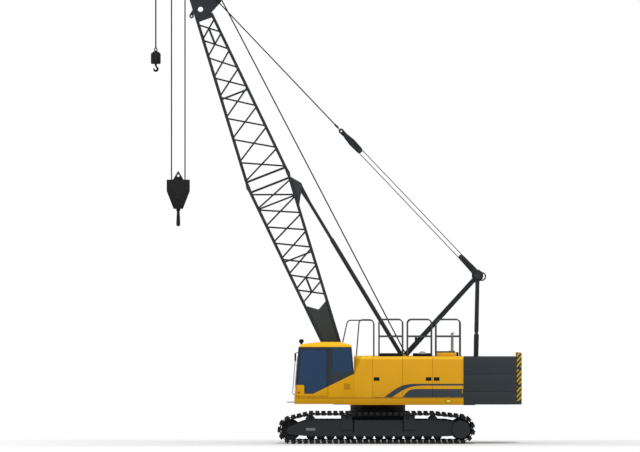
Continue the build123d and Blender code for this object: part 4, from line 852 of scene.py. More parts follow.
for side, _ in SIDES:
    for low, high in BOARD_HEIGHTS:
        ring = []
        for depth, reach in (
            (BOARD_INNER, BOARD_FROM),
            (BOARD_INNER, BOARD_TO),
            (BOARD_OUTER, BOARD_TO),
            (BOARD_OUTER, BOARD_FROM),
        ):
            ring.append(CORNER_FRONT + along_corner * reach + outwards * depth)
        rims = [[boards.verts.new((spot.x, -side * spot.y, z)) for spot in ring] for z in (low, high)]
        walls(boards, *rims)
        for rim in rims:
            boards.faces.new(rim)
    profile = ((0.0, 0.0), (0.0, 0.040), (0.090, 0.036), (0.110, 0.030), (0.120, 0.0))
    turned(pegs, (PEG_X, side * PEG_Y, PEG_Z), profile, across="Z", segments=20)
bmesh.ops.recalc_face_normals(boards, faces=boards.faces)
piece("hazard_boards", boards, hazard, "yellow_paint", "superstructure", angle=0)
piece("corner_pegs", pegs, yellow, "yellow_paint", "superstructure")

# Handrails.
# Bent steel tube, welded up in bays and bolted to the roofs, painted grey. One tree draws
# every tube of the crane: it rounds the bends of a line and gives it its own thickness.

RAIL_R, RAIL_Y, RAIL_BEND = 0.0175, 1.6, 0.11
RAIL_TOP, RAIL_MIDDLE = 3.478, 3.004
RAIL_BAYS = ((0.034, 0.698), (0.833, 1.509), (1.633, 2.314))
# The front bays: side, foot's x and z, and the shoulder's x.
FRONT_RAILS = ((-1, -0.988, 2.845, -0.853), (1, -0.600, ROOF, -0.520))
FRONT_RAIL_TOP, FRONT_RAIL_END = RAIL_TOP - 0.014, -0.113
tubing, tubing_in, tubing_out = group_of_nodes(
    "Tubes along lines",
    "GeometryNodeTree",
    [
        ("Geometry", "Geometry", None),
        ("Bend", "Float", 0.0),
        ("Sides", "Int", 14),
        ("Material", "Material", None),
    ],
    [("Geometry", "Geometry")],
)
lines = node_in(tubing, "GeometryNodeMeshToCurve", {"Mesh": tubing_in["Geometry"]})
rounded = node_in(
    tubing,
    "GeometryNodeFilletCurve",
    {"Curve": lines.outputs["Curve"], "Radius": tubing_in["Bend"], "Count": 6},
    mode="POLY",
)
thickness = node_in(tubing, "GeometryNodeInputNamedAttribute", {"Name": "thick"}, data_type="FLOAT")
section = node_in(
    tubing, "GeometryNodeCurvePrimitiveCircle", {"Radius": 1, "Resolution": tubing_in["Sides"]}
)
drawn = node_in(
    tubing,
    "GeometryNodeCurveToMesh",
    {
        "Curve": rounded.outputs["Curve"],
        "Profile Curve": section.outputs["Curve"],
        "Scale": thickness.outputs["Attribute"],
        "Fill Caps": True,
    },
)
end_of_tree(tubing, drawn.outputs["Mesh"], tubing_in["Material"], tubing_out)


def tubes(name, runs, material, slot, body, *nodes, bend=0.0, sides=14):
    """A piece of round tubes: each run is a radius and the points that its middle passes."""
    points, edges, thick = [], [], []
    for radius, run in runs:
        first = len(points)
        points += [tuple(point) for point in run]
        edges += [(first + step, first + step + 1) for step in range(len(run) - 1)]
        thick += [radius] * len(run)
    wire = marks(name, points, edges)
    wire.data.attributes.new("thick", "FLOAT", "POINT").data.foreach_set("value", thick)
    made = grown(name, wire, tubing, Bend=bend, Sides=sides, Material=material)
    smooth_by_angle(made)
    return fit(made, material, slot, body, *nodes)


rails = []
for side, _ in SIDES:
    y = side * RAIL_Y
    for low_x, high_x in RAIL_BAYS:
        bay = ((low_x, ROOF), (low_x, RAIL_TOP), (high_x, RAIL_TOP), (high_x, ROOF))
        rails.append((RAIL_R, [(x, y, z) for x, z in bay]))
        rails.append((RAIL_R, ((low_x, y, RAIL_MIDDLE), (high_x, y, RAIL_MIDDLE))))
for side, foot_x, foot_z, shoulder_x in FRONT_RAILS:
    bay = (
        (foot_x, foot_z), (shoulder_x, FRONT_RAIL_TOP), (FRONT_RAIL_END, FRONT_RAIL_TOP),
        (FRONT_RAIL_END, ROOF),
    )
    rails.append((RAIL_R, [(x, side * RAIL_Y, z) for x, z in bay]))
rail_grey = finish_of("Rail grey", linear(64, 69, 73), 0.1, roughness=0.45, peel=0.1)
tubes(
    "handrail_tubes", rails, rail_grey, "dark_paint", "superstructure", "handrails", bend=RAIL_BEND, sides=12
)

# Cab.
# A pressed steel shell, yellow below and on the roof, black round the flush bonded glass,
# with one hinged door on its left; inside it is lined in dark grey.

CAB_YELLOW = linear(202, 146, 4)
CAB_MIDDLE = (-1.500, -1.185, 2.060)
# The black trim's lower edges: a line's foot x and z, and how it rises to the rear.
LEFT_TRIM, RIGHT_TRIM, RIGHT_REAR_TRIM = (-1.80, 1.410, 0.49), (-2.25, 1.600, 0.079), (-1.24, 1.680, 0.467)
POST_X, POST_FOOT, PANES_FOOT, TRIM_TOP = -2.070, 1.400, 1.650, 2.712
# Where the left side ends, and the height above which the cab gets its painted highlight.
LEFT_SIDE_TO, CAB_HIGHLIGHT_Z = -1.0, 2.700
TRIM_BLACK, LINING_GREY = linear(40, 48, 54), linear(62, 64, 66)
cab_paint = finish_of("Cab paint", CAB_YELLOW, 0.09, 0.05, 1.6, roughness=0.4, peel=0.1)
skin = cab_paint.node_tree
x_cab, y_cab, z_cab = place_of(skin)


def over(foot_x, foot_z, slope):
    """1 on the cab above a line that rises to the rear from its foot."""
    line = figure(skin, "MULTIPLY_ADD", figure(skin, "SUBTRACT", x_cab, foot_x), slope, foot_z)
    return figure(skin, "GREATER_THAN", z_cab, line)


low_part = figure(
    skin,
    "MULTIPLY",
    figure(skin, "GREATER_THAN", x_cab, POST_X),
    figure(skin, "GREATER_THAN", z_cab, POST_FOOT),
)
left_trim = figure(skin, "MAXIMUM", low_part, figure(skin, "GREATER_THAN", z_cab, PANES_FOOT))
left_trim = figure(skin, "MULTIPLY", left_trim, over(*LEFT_TRIM))
left_trim = figure(skin, "MULTIPLY", left_trim, figure(skin, "LESS_THAN", y_cab, LEFT_SIDE_TO))
right_trim = figure(skin, "MULTIPLY", over(*RIGHT_TRIM), over(*RIGHT_REAR_TRIM))
right_trim = figure(skin, "MULTIPLY", right_trim, figure(skin, "GREATER_THAN", y_cab, LEFT_SIDE_TO))
trim = figure(skin, "ADD", left_trim, right_trim)
trim = figure(skin, "MULTIPLY", trim, figure(skin, "LESS_THAN", z_cab, TRIM_TOP))
spot = node_in(skin, "ShaderNodeTexCoord").outputs
from_middle = node_in(
    skin, "ShaderNodeVectorMath", {0: spot["Object"], 1: CAB_MIDDLE}, operation="SUBTRACT"
).outputs["Vector"]
facing_out = node_in(
    skin, "ShaderNodeVectorMath", {0: from_middle, 1: spot["Normal"]}, operation="DOT_PRODUCT"
).outputs["Value"]
inside = figure(skin, "LESS_THAN", facing_out, 0)
# Painted highlight: the cab's roof and top edge are painted a brighter yellow above a set height.
cab_colour = painted_highlight(skin, z_cab, CAB_HIGHLIGHT_Z, CAB_YELLOW)
cab_colour = two_colours(skin, trim, cab_colour, TRIM_BLACK)
cab_colour = two_colours(skin, inside, cab_colour, LINING_GREY)
feed(skin, skin.nodes["Worn surface"].inputs, {"Colour": cab_colour})
eased("cab_shell", "cab_pressed_shell", 0.012, cab_paint, "yellow_paint", "superstructure")
eased("cab_door", "cab_door_frame", 0.006, cab_paint, "yellow_paint", "cab_door")

# Cab glass.
# Tinted safety glass, bonded flush into the shell and the door. It is blue, and dark grey
# low down at the rear.

STRIP_FRONT, STRIP_TOP = -1.34, 2.020
tinted = bpy.data.materials.new("Tinted glass")
tinted.use_nodes = True
tint = tinted.node_tree
clouds = node_in(tint, "ShaderNodeTexNoise", {"Scale": 1.5})
blue = two_colours(tint, clouds.outputs["Fac"], linear(22, 50, 82), linear(28, 60, 92))
x_pane, _, z_pane = place_of(tint)
behind = figure(tint, "GREATER_THAN", x_pane, STRIP_FRONT)
dark_strip = figure(tint, "MULTIPLY", behind, figure(tint, "LESS_THAN", z_pane, STRIP_TOP))
pane = {
    "Base Color": two_colours(tint, dark_strip, blue, linear(40, 50, 54)),
    "Roughness": 0.06,
    "Specular IOR Level": 0.25,
    "Alpha": 0.88,
}
feed(tint, tint.nodes["Principled BSDF"].inputs, pane)
for node in ("cab_glass", "cab_door_glass"):
    paint(node, tinted)

# Seat.

SEAT_Y, PAD_HALF, BACK_FOOT = -1.185, 0.225, 1.780
CROWN = 0.012
CHANNEL_DEPTH, CHANNEL_WIDTH = 0.007, 0.010
CLOTH_FRAMES = 20
PEDESTAL_X, PEDESTAL_FOOT, FOLD, FOLDS = -1.3, 1.337, 0.048, 7
# The bellows' half width, how much each fold is narrower, and how deep every second lies.
BELLOWS_HALF, NARROWER, FOLD_DEPTH, FOLD_GAP = 0.190, 0.006, 0.018, 0.001
seat_cloth = finish_of("Seat cloth", linear(42, 43, 46), 0.2, 0.05, roughness=0.9, peel=0.3)
weave_tree = seat_cloth.node_tree
weave = node_in(weave_tree, "ShaderNodeTexVoronoi", {"Scale": 350})
threads = node_in(
    weave_tree, "ShaderNodeBump", {"Height": weave.outputs["Distance"], "Distance": 0.001, "Strength": 0.5}
)
feed(weave_tree, weave_tree.nodes["Principled BSDF"].inputs, {"Normal": threads.outputs["Normal"]})


def cushion(name, low, high, lean, foot, channels):
    """A pad blown up by cloth pressure, with its sewn channels, leaning back from its foot."""
    start = bmesh.new()
    block(start, low, high, 0.022)
    pad = from_bmesh(name, start)
    remesh = pad.modifiers.new("Voxels", "REMESH")
    remesh.mode = "VOXEL"
    remesh.voxel_size = 0.012
    pad = plain_mesh(name, pad)
    before = [vertex.co.copy() for vertex in pad.data.vertices]
    cloth = pad.modifiers.new("Cloth", "CLOTH")
    cloth.settings.use_pressure = True
    cloth.settings.uniform_pressure_force = 4
    cloth.settings.effector_weights.gravity = 0
    cloth.point_cache.frame_end = CLOTH_FRAMES
    for moment in range(1, CLOTH_FRAMES + 1):
        bpy.context.scene.frame_set(moment)
    pad = plain_mesh(name, pad)
    bpy.context.scene.frame_set(1)
    lying = high[2] - low[2] < high[0] - low[0]
    press = Vector((0, 0, -1)) if lying else Vector((1, 0, 0))
    for vertex, rest in zip(pad.data.vertices, before):
        move = vertex.co - rest
        vertex.co = rest + move * min(1, CROWN / max(move.length, 1e-6))
        seen = rest.z > (low[2] + high[2]) / 2 if lying else rest.x < (low[0] + high[0]) / 2
        if seen:
            here = vertex.co.x if lying else vertex.co.z
            near = sum(math.exp(-(((here - channel) / CHANNEL_WIDTH) ** 2)) for channel in channels)
            vertex.co += press * CHANNEL_DEPTH * near
    pad.data.transform(Matrix.Translation(foot) @ Matrix.Rotation(lean, 4, "Y") @ Matrix.Translation(-foot))
    pad.modifiers.new("Rounder", "SUBSURF").levels = 1
    pad = plain_mesh(name, pad)
    for polygon in pad.data.polygons:
        polygon.use_smooth = True
    pad.data.materials.clear()
    fit(pad, seat_cloth, "seat_fabric", "superstructure", "operator_seat")


cushion(
    "seat_cushion",
    low=(-1.570, SEAT_Y - PAD_HALF, 1.712),
    high=(-1.195, SEAT_Y + PAD_HALF, 1.790),
    lean=0,
    foot=Vector((0, 0, 0)),
    channels=(-1.46, -1.36, -1.26),
)
cushion(
    "seat_backrest",
    low=(-1.170, SEAT_Y - PAD_HALF, BACK_FOOT),
    high=(-1.075, SEAT_Y + PAD_HALF, 2.400),
    lean=math.radians(4.5),
    foot=Vector((-1.130, 0, BACK_FOOT)),
    channels=(1.90, 2.02, 2.14, 2.26),
)
pedestal = bmesh.new()
for step in range(FOLDS):
    wide = 2 * (BELLOWS_HALF - NARROWER * step - (FOLD_DEPTH if step % 2 else 0))
    middle = PEDESTAL_FOOT + (FOLD + FOLD_GAP) * step + FOLD / 2
    block_about(pedestal, (PEDESTAL_X, SEAT_Y, middle), (wide, wide, FOLD), 0.010)
block(pedestal, (-1.560, SEAT_Y - 0.215, 1.680), (-1.085, SEAT_Y + 0.215, 1.706), 0.008)
piece("seat_pedestal", pedestal, black_rubber, "seat_fabric", "superstructure", angle=0)

# Control console.
# A moulded plastic housing, screwed down in front of the seat, with four levers: steel
# rods with round knobs.

LEVER_R, KNOB_R = 0.007, 0.018
console_plastic = finish_of("Console plastic", linear(52, 54, 56), 0.1, 0.05, roughness=0.6, peel=0.3)
eased("control_console", "console_housing", 0.020, console_plastic, "console_plastic", "superstructure")
levers = []
for shift in (-0.16, -0.05, 0.05, 0.16):
    y = SEAT_Y + shift
    levers.append((LEVER_R, ((-2.020, y, 1.900), (-2.000, y, 2.040))))
    levers.append((KNOB_R, ((-2.000, y, 2.040), (-1.994, y, 2.085))))
tubes("console_levers", levers, dull_black, "black_paint", "superstructure")

# Cab fittings.
# A pale grab rail with a mirror on it, a step of welded tube, a round lamp on the roof, a
# wiper, a red reflector and a vent panel, all bolted or glued to the pressed shell.

CAB_FOOT_X, CAB_FOOT_Z = -2.345, 1.284
FRONT_LEAN = 0.110 / 1.406
CAB_SIDE = 1.6495
GRAB_OUT, GRAB_LOW, GRAB_HIGH = 0.062, 1.380, 2.560
GRAB_R, TREAD_R = 0.0145, 0.0125
STEP_Z, STEP_HALF, STEP_FRONT, STEP_BACK = 1.165, 0.220, -2.548, -2.346
MIRROR_LOW, MIRROR_HIGH, MIRROR_LEFT, MIRROR_RIGHT = 2.312, 2.548, -1.648, -1.472
MIRROR_RIM = 0.012
WIPER_R, WIPER_OUT = 0.006, 0.010
ROOF_LAMP = (-2.150, -1.500, 2.790)


def cab_front(z):
    """How far forward the cab's leaning front lies at a height."""
    return CAB_FOOT_X + FRONT_LEAN * (z - CAB_FOOT_Z)


pale_steel = finish_of("Pale steel", linear(168, 172, 176), 0.15, 0.05, roughness=0.4, peel=0.1)
grab = (
    (cab_front(GRAB_HIGH) + 0.001, GRAB_HIGH), (cab_front(GRAB_HIGH) - GRAB_OUT, GRAB_HIGH),
    (cab_front(GRAB_LOW) - GRAB_OUT, GRAB_LOW), (cab_front(GRAB_LOW) + 0.001, GRAB_LOW),
)
step_loop = (
    (STEP_BACK, -STEP_HALF), (STEP_FRONT, -STEP_HALF), (STEP_FRONT, STEP_HALF), (STEP_BACK, STEP_HALF),
)
pale_runs = [
    (GRAB_R, [(x, -1.560, z) for x, z in grab]),
    (GRAB_R, [(x, SEAT_Y + y, STEP_Z) for x, y in step_loop]),
]
for x in (-2.50, -2.45, -2.40):
    ends = [(x, SEAT_Y + side * (STEP_HALF - 0.002), STEP_Z) for side, _ in SIDES]
    pale_runs.append((TREAD_R, ends))
tubes(
    "grab_rail_and_step", pale_runs, pale_steel, "black_paint", "superstructure", "cab_fittings", bend=0.05
)
mirror_x = cab_front(2.430) - GRAB_OUT
fittings = bmesh.new()
mirror_back = mirror_x + 0.020
block(
    fittings,
    (mirror_x - 0.028, MIRROR_LEFT, MIRROR_LOW),
    (mirror_back, MIRROR_RIGHT, MIRROR_HIGH),
    0.014,
)
lamp_profile = (
    (0.0, 0.0), (0.0, 0.028), (0.024, 0.030), (0.050, 0.056), (0.072, 0.068), (0.104, 0.068),
    (0.128, 0.056), (0.143, 0.030), (0.146, 0.0),
)
turned(fittings, ROOF_LAMP, lamp_profile, across="Z")
piece("mirror_and_lamp", fittings, dull_black, "black_paint", "superstructure", "cab_fittings")
mirror_silver = finish_of(
    "Mirror glass", linear(150, 160, 168), 0.05, 0.02, roughness=0.08, peel=0.0, metallic=0.8
)
looking = bmesh.new()
block(
    looking,
    (mirror_back - 0.0005, MIRROR_LEFT + MIRROR_RIM, MIRROR_LOW + 0.014),
    (mirror_back + 0.0015, MIRROR_RIGHT - MIRROR_RIM, MIRROR_HIGH - 0.014),
)
piece("mirror_glass", looking, mirror_silver, "window_glass", "superstructure", angle=0)
wiper = []
for run in (((-0.10, 1.56), (0.10, 2.20)), ((-0.02, 1.95), (0.22, 2.44))):
    wiper.append((WIPER_R, [(cab_front(z) - WIPER_OUT, SEAT_Y + y, z) for y, z in run]))
tubes("windscreen_wiper", wiper, dull_black, "black_paint", "superstructure")
red = finish_of("Red reflector", linear(150, 20, 14), 0.1, 0.05, roughness=0.25, peel=0.0)
reflector = bmesh.new()
block(reflector, (-2.250, -CAB_SIDE - 0.004, 1.412), (-2.200, -CAB_SIDE, 1.462), 0.0015)
piece("red_reflector", reflector, red, "black_paint", "cab_door", angle=0)
# The vent panel is a darker copy of the cab yellow: painted shade for its recess.
shaded_recess_yellow = finish_of("Painted shade yellow", linear(176, 124, 4), 0.2, 0.2, roughness=0.6)
vent = bmesh.new()
block(vent, (-0.951, -CAB_SIDE - 0.003, 1.520), (-0.783, -CAB_SIDE, 1.689), 0.001)
piece("vent_panel", vent, shaded_recess_yellow, "yellow_paint", "superstructure", angle=0)

# Boom.
# Two lattice sections of round tube, welded up and painted dark grey, pinned end to end at
# the middle; side plates stiffen the foot and close the head.

FOOT = Vector((-0.895, 0, 1.773))
LEAN = math.radians(68.7)
ALONG = Vector((-math.cos(LEAN), 0, math.sin(LEAN)))
REARWARD = Vector((math.sin(LEAN), 0, math.cos(LEAN)))
JOINT_AT, HEAD_AT = 6.035, 10.9
CHORD_R, LACE_R, FRAME_R, CROSS_R = 0.042, 0.024, 0.030, 0.038
LACE_GAP = 0.022
# The wheels' axles and the suspension's pin: place along the boom and to its rear.
HEAD_AXLE, TIP_AXLE, GUIDE_AXLE, LUG_PIN = (13.0, 0), (13.73, -0.19), (11.41, 0.416), (12.19, 0.120)
THROAT_TUBE = (11.56, -0.150)
HEAD_HALF, HEAD_TUBES_HALF, PLATE_Y = 0.400, 0.425, 0.62
BUTT_CHORDS, TOP_CHORDS = (0.06, 5.96), (6.11, 11.0)
# Where the diagonals meet the chords, and where bars run round the boom or along it.
BUTT_STATIONS = (2.450, 2.880, 3.350, 3.830, 4.340, 4.840, 5.370)
BUTT_END_STATIONS = (5.370, 5.850)
TOP_STATIONS = (6.220, 6.800, 7.475, 8.100, 8.710, 9.285, 9.870, 10.390, 10.840)
BUTT_FRAMES = ((5.370, LACE_R), (5.890, FRAME_R), (3.720, LACE_R))
TOP_FRAMES = ((6.200, FRAME_R), (8.630, LACE_R))
BUTT_BARS, TOP_BARS = (2.665, 3.115), (10.130, 10.615)
HEAD_OUTLINE = (
    (10.900, -0.270), (10.885, 0.185), (11.020, 0.225), (11.090, 0.374), (11.200, 0.590),
    (11.330, 0.665), (11.400, 0.690), (11.480, 0.680), (11.560, 0.640), (11.900, 0.300),
    (12.190, 0.240), (13.060, 0.150), (13.060, -0.150), (11.570, -0.216),
)
# The eyelet at the front of the head's plates: height, x and radius of its rounds and bore.
EYELET, EYELET_BORE = ((12.018, -5.244, 0.062), (12.165, -5.205, 0.020)), (12.018, -5.244, 0.024)


def on_boom(along, rear, right):
    """A point given by its place along the boom, to its rear and to its right."""
    return FOOT + ALONG * along + REARWARD * rear + Vector((0, right, 0))


def half_depth(along):
    """Half the boom's depth between the chords."""
    if along < JOINT_AT:
        return 0.140 + 0.460 * along / JOINT_AT
    return 0.600 - 0.0766 * (along - JOINT_AT)


def half_width(along):
    """Half the boom's width between the chords."""
    if along < JOINT_AT:
        return 0.570 + 0.050 * along / JOINT_AT
    return 0.620 - 0.220 * min((along - JOINT_AT) / (HEAD_AT - JOINT_AT), 1)


def corner(along, rear, right):
    """A point on a chord; rear and right are 1 or -1."""
    return on_boom(along, rear * half_depth(along), right * half_width(along))


def lattice(stations):
    """The diagonals of a section on all four sides."""
    runs = []
    for number, (low, high) in enumerate(zip(stations, stations[1:])):
        way = -1 if number % 2 == 0 else 1
        for first, second in (
            ((way, -1), (-way, -1)),
            ((-way, 1), (way, 1)),
            ((-1, way), (-1, -way)),
            ((1, -way), (1, way)),
        ):
            runs.append((LACE_R, (corner(low + LACE_GAP, *first), corner(high - LACE_GAP, *second))))
    return runs


def frame_across(along, radius):
    """Four bars round the boom."""
    corners = [(-1, -1), (-1, 1), (1, 1), (1, -1)]
    return [
        (radius, (corner(along, *one), corner(along, *two)))
        for one, two in zip(corners, corners[1:] + corners[:1])
    ]


def chord_runs(low, high):
    """The four chords of a section."""
    return [
        (CHORD_R, (corner(low, rear, right), corner(high, rear, right)))
        for rear in (-1, 1)
        for right in (-1, 1)
    ]


def short_bars(low, high):
    """Two bars along the boom between the middles of two diagonals."""
    return [
        (FRAME_R, (on_boom(low, 0, right * half_width(low)), on_boom(high, 0, right * half_width(high))))
        for right in (-1, 1)
    ]


def axle(radius, place, half):
    """A tube across the boom's middle plane."""
    return radius, (on_boom(*place, -half), on_boom(*place, half))


def plate(mesh, outline, middle, thick, hole=None, at=on_boom):
    """A flat upright plate of (along, rear) points, with one round hole; at says on which line."""
    rims, bores, faces = [], [], []
    for y in (middle - thick / 2, middle + thick / 2):
        rim = [mesh.verts.new(at(along, rear, y)) for along, rear in outline]
        rims.append(rim)
        if hole is None:
            faces.append(mesh.faces.new(rim))
            continue
        along, rear, radius = hole
        bore = [
            mesh.verts.new(at(along + radius * math.cos(turn), rear + radius * math.sin(turn), y))
            for turn in turns(32)
        ]
        bores.append(bore)
        edges = [mesh.edges.new(pair) for ring in (rim, bore) for pair in zip(ring, ring[1:] + ring[:1])]
        filled = bmesh.ops.triangle_fill(mesh, edges=edges, use_beauty=True)
        faces += [part for part in filled["geom"] if isinstance(part, bmesh.types.BMFace)]
    faces += walls(mesh, *rims)
    if hole is not None:
        faces += walls(mesh, *bores)
    bmesh.ops.recalc_face_normals(mesh, faces=faces)


def stretched(*discs):
    """A plate's outline round discs (along, rear, radius)."""
    return stretched_round(discs, steps=32)


def on_level_lines(up, back, side):
    """A point given by its height, its place to the rear and its side, off the boom's line."""
    return Vector((back, side, up))


boom_grey = finish_of("Boom grey", linear(52, 56, 56), roughness=0.42, peel=0.15)
boom_top_grey = finish_of("Boom top grey", linear(41, 45, 49), roughness=0.42, peel=0.15)
butt_runs = chord_runs(*BUTT_CHORDS) + lattice(BUTT_STATIONS) + lattice(BUTT_END_STATIONS)
butt_runs += short_bars(*BUTT_BARS)
for along, radius in BUTT_FRAMES:
    butt_runs += frame_across(along, radius)
butt_runs.append(axle(0.058, (0.7, 0), 0.57))
tubes("butt_tubes", butt_runs, boom_top_grey, "dark_paint", "boom", "boom_butt")
top_runs = chord_runs(*TOP_CHORDS) + lattice(TOP_STATIONS) + short_bars(*TOP_BARS)
for along, radius in TOP_FRAMES:
    top_runs += frame_across(along, radius)
for place in (HEAD_AXLE, GUIDE_AXLE, THROAT_TUBE, LUG_PIN):
    top_runs.append(axle(CROSS_R, place, HEAD_TUBES_HALF))
top_runs.append(axle(0.026, TIP_AXLE, 0.075))
tubes("top_tubes", top_runs, boom_top_grey, "dark_paint", "boom", "boom_top")

butt_plates, top_plates = bmesh.new(), bmesh.new()
foot_plate = ((0, -0.14), (2.37, -half_depth(2.3)), (2.13, 0), (2.30, half_depth(2.3)), (0, 0.14))
stop_bracket = stretched(
    (5.590, 0.760, 0.090), (5.900, half_depth(5.9), 0.030), (5.060, half_depth(5.06), 0.030)
)
for right in (-1, 1):
    joint_y = right * PLATE_Y
    plate(butt_plates, foot_plate, right * half_width(1.15), 0.024)
    plate(butt_plates, stretched((0, 0, 0.14), (0.36, 0, 0.115)), right * 0.570, 0.1)
    plate(butt_plates, stop_bracket, right * 0.572, 0.034)
    plate(top_plates, HEAD_OUTLINE, right * HEAD_HALF, 0.024, hole=(11.210, -0.026, 0.075))
    plate(top_plates, stretched(*EYELET), right * HEAD_HALF, 0.020, hole=EYELET_BORE, at=on_level_lines)
    plate(top_plates, stretched((*HEAD_AXLE, 0.110), (*TIP_AXLE, 0.080)), right * 0.053, 0.016)
    for rear in (-1, 1):
        middle = rear * half_depth(JOINT_AT)
        fork = stretched((JOINT_AT, middle, 0.056), (5.91, rear * half_depth(5.91), 0.038))
        for shift in (-0.022, 0.022):
            plate(butt_plates, fork, joint_y + shift, 0.016)
        turned(butt_plates, on_boom(JOINT_AT, middle, joint_y), pin(0.038, 0.030), segments=20)
        tongue = stretched((JOINT_AT, middle, 0.055), (6.16, rear * half_depth(6.16), 0.038))
        plate(top_plates, tongue, joint_y, 0.0274)
piece("butt_plates", butt_plates, boom_grey, "dark_paint", "boom")
piece("top_plates", top_plates, boom_top_grey, "dark_paint", "boom")

# Rope wheels at the boom's head.
# Turned steel wheels with a round groove for the rope, thin webs and plain bearings; they
# sit on the head's axle, on the tip's and on the guide's above the head.

SHEAVE_BORE, SHEAVE_R = 0.038, 0.220
half = (
    (0.028, SHEAVE_BORE), (0.028, 0.075), (0.012, 0.085), (0.012, 0.150), (0.028, 0.165), (0.028, 0.216),
    (0.020, SHEAVE_R), (0.013, 0.196), (0.007, 0.180),
)
SHEAVE_PROFILE = [(-along, radius) for along, radius in half] + [(0.0, 0.1775)] + list(half[::-1])
wheels = bmesh.new()
for place, y, share in ((HEAD_AXLE, -0.12, 1), (HEAD_AXLE, 0.12, 1), (TIP_AXLE, 0, 0.95), (GUIDE_AXLE, 0, 1)):
    sized = [(along, radius * share) for along, radius in SHEAVE_PROFILE]
    turned(wheels, on_boom(*place, y), sized, segments=48)
wheel_grey = finish_of("Wheel grey", linear(48, 52, 55), 0.15, roughness=0.45, metallic=0.3)
piece("boom_rope_wheels", wheels, wheel_grey, "black_paint", "boom", "boom_sheaves")

# Gantry and rear links.
# Welded box legs that meet at a head axle, held from behind by flat bars with a joint in
# the middle; the head carries rope wheels and guard rings, and each leg a work lamp.

GANTRY_HEAD = Vector((2.807, 0, 4.709))
HEAD_WHEELS_Y = (-0.180, -0.060, 0.060, 0.180)
# The pins of the links' middle joint: x, z and radius.
LINK_PINS, LINK_PINS_Y = ((2.776, 3.144, 0.042), (2.776, 3.036, 0.048)), 0.571
STRAPS_X, STRAPS_Y, STRAPS_Z, STRAP_SIZE = (2.745, 2.807), 0.540, 3.090, (0.014, 0.072, 0.140)
GUARD_MIDDLE, GUARD_R, GUARD_HALF = (2.919, 0, 4.690), 0.112, 0.300
GUARD_TUBE, GUARD_BAR, GUARD_STAY = 0.018, 0.010, 0.012
LAMP_X, LAMP_Y, LAMP_Z = 1.118, 0.400, 2.930
CAP_Y, CAP_BOLTS_R = 0.590, 0.070


def small_wheel(mesh, middle, bore, share, segments):
    """A rope wheel of the same form on its own bore, with its rim at a share of the height."""
    profile = [(along, bore + (radius - SHEAVE_BORE) * share) for along, radius in SHEAVE_PROFILE]
    turned(mesh, middle, profile, segments=segments)


gantry_grey = finish_of("Gantry grey", linear(35, 39, 42), roughness=0.42, peel=0.15)
for node, width in (("gantry", 0.010), ("gantry_rear_links", 0.008)):
    eased(node, f"{node}_weldment", width, gantry_grey, "dark_paint", "superstructure")
head_parts = bmesh.new()
for y in HEAD_WHEELS_Y:
    small_wheel(head_parts, GANTRY_HEAD + Vector((0, y, 0)), 0.068, 0.52, 36)
cap = ((0.0, 0.0), (0.0, 0.095), (0.012, 0.095), (0.016, 0.088), (0.016, 0.0))
for y in (-CAP_Y - 0.016, CAP_Y - 0.004):
    turned(head_parts, GANTRY_HEAD + Vector((0, y, 0)), cap)
for x, z, radius in LINK_PINS:
    for y in (-LINK_PINS_Y, LINK_PINS_Y):
        half = ((0.010, 0.0), (0.010, radius - 0.004), (0.006, radius))
        turned(head_parts, (x, y, z), mirrored(half), segments=24)
for y in (-STRAPS_Y, STRAPS_Y):
    for x in STRAPS_X:
        block_about(head_parts, (x, y, STRAPS_Z), STRAP_SIZE, 0.004)
piece("gantry_head_parts", head_parts, wheel_grey, "black_paint", "superstructure")
guards = []
for side, _ in SIDES:
    middle = Vector(GUARD_MIDDLE) + Vector((0, side * GUARD_HALF, 0))
    hoop = [beside(middle, GUARD_R, math.radians(turn)) for turn in range(-150, 151, 12)]
    guards.append((GUARD_TUBE, hoop))
for turn in (-80, -20, 40):
    x, _, z = beside(GUARD_MIDDLE, GUARD_R, math.radians(turn))
    guards.append((GUARD_BAR, ((x, -GUARD_HALF, z), (x, GUARD_HALF, z))))
guards.append((GUARD_STAY, ((2.760, GUARD_HALF, 4.800), (2.863, GUARD_HALF, 4.885))))
tubes("rope_guard", guards, boom_grey, "dark_paint", "superstructure", sides=8)
lamp_parts = bmesh.new()
lamp_profile = ((-0.075, 0.0), (-0.075, 0.052), (-0.068, 0.056), (-0.030, 0.050), (0.0, 0.028), (0.0, 0.0))
for y in (-LAMP_Y, LAMP_Y):
    block(lamp_parts, (1.120, y - 0.030, 2.905), (1.170, y + 0.030, 2.965), 0.006)
    turned(lamp_parts, (LAMP_X, y, LAMP_Z), lamp_profile, across="X", segments=24)
piece("gantry_lamps", lamp_parts, dull_black, "black_paint", "superstructure")
cap_bolts = []
for side, _ in SIDES:
    middle = GANTRY_HEAD + Vector((0, side * (CAP_Y + 0.018), 0))
    cap_bolts += [(beside(middle, CAP_BOLTS_R, turn), (0, side, 0)) for turn in turns(6)]
bolts("head_cap_bolts", 0.018, dark_fixings, "black_paint", "superstructure", cap_bolts)

# Boom suspension.
# Two bails of steel plate with rope wheels between them, and two wire rope pendants with
# forged sockets from the floating bail up to the boom's head.

STAY_PIVOT = Vector((2.691, 0, 4.870))
STAY_LUG = on_boom(*LUG_PIN, 0)
STAY_LENGTH = (STAY_LUG - STAY_PIVOT).length
STAY_LINE = (STAY_LUG - STAY_PIVOT).normalized()
STAY_SIDE = Vector((STAY_LINE.z, 0, -STAY_LINE.x))
LOWER_AXLE, UPPER_AXLE, YOKE_PIN, PENDANT_PIN = 0.500, 4.640, 5.172, 5.400
BAIL_MIDDLE, BAIL_CHEEK_Y, YOKE_Y = 4.960, 0.300, 0.338
PENDANT_Y, PENDANT_R, SOCKET_R, FORK_R, EYE_R, LUG_SLEEVE_R = 0.445, 0.015, 0.026, 0.010, 0.030, 0.034
WHEELS_Y = (-0.210, -0.070, 0.070, 0.210)


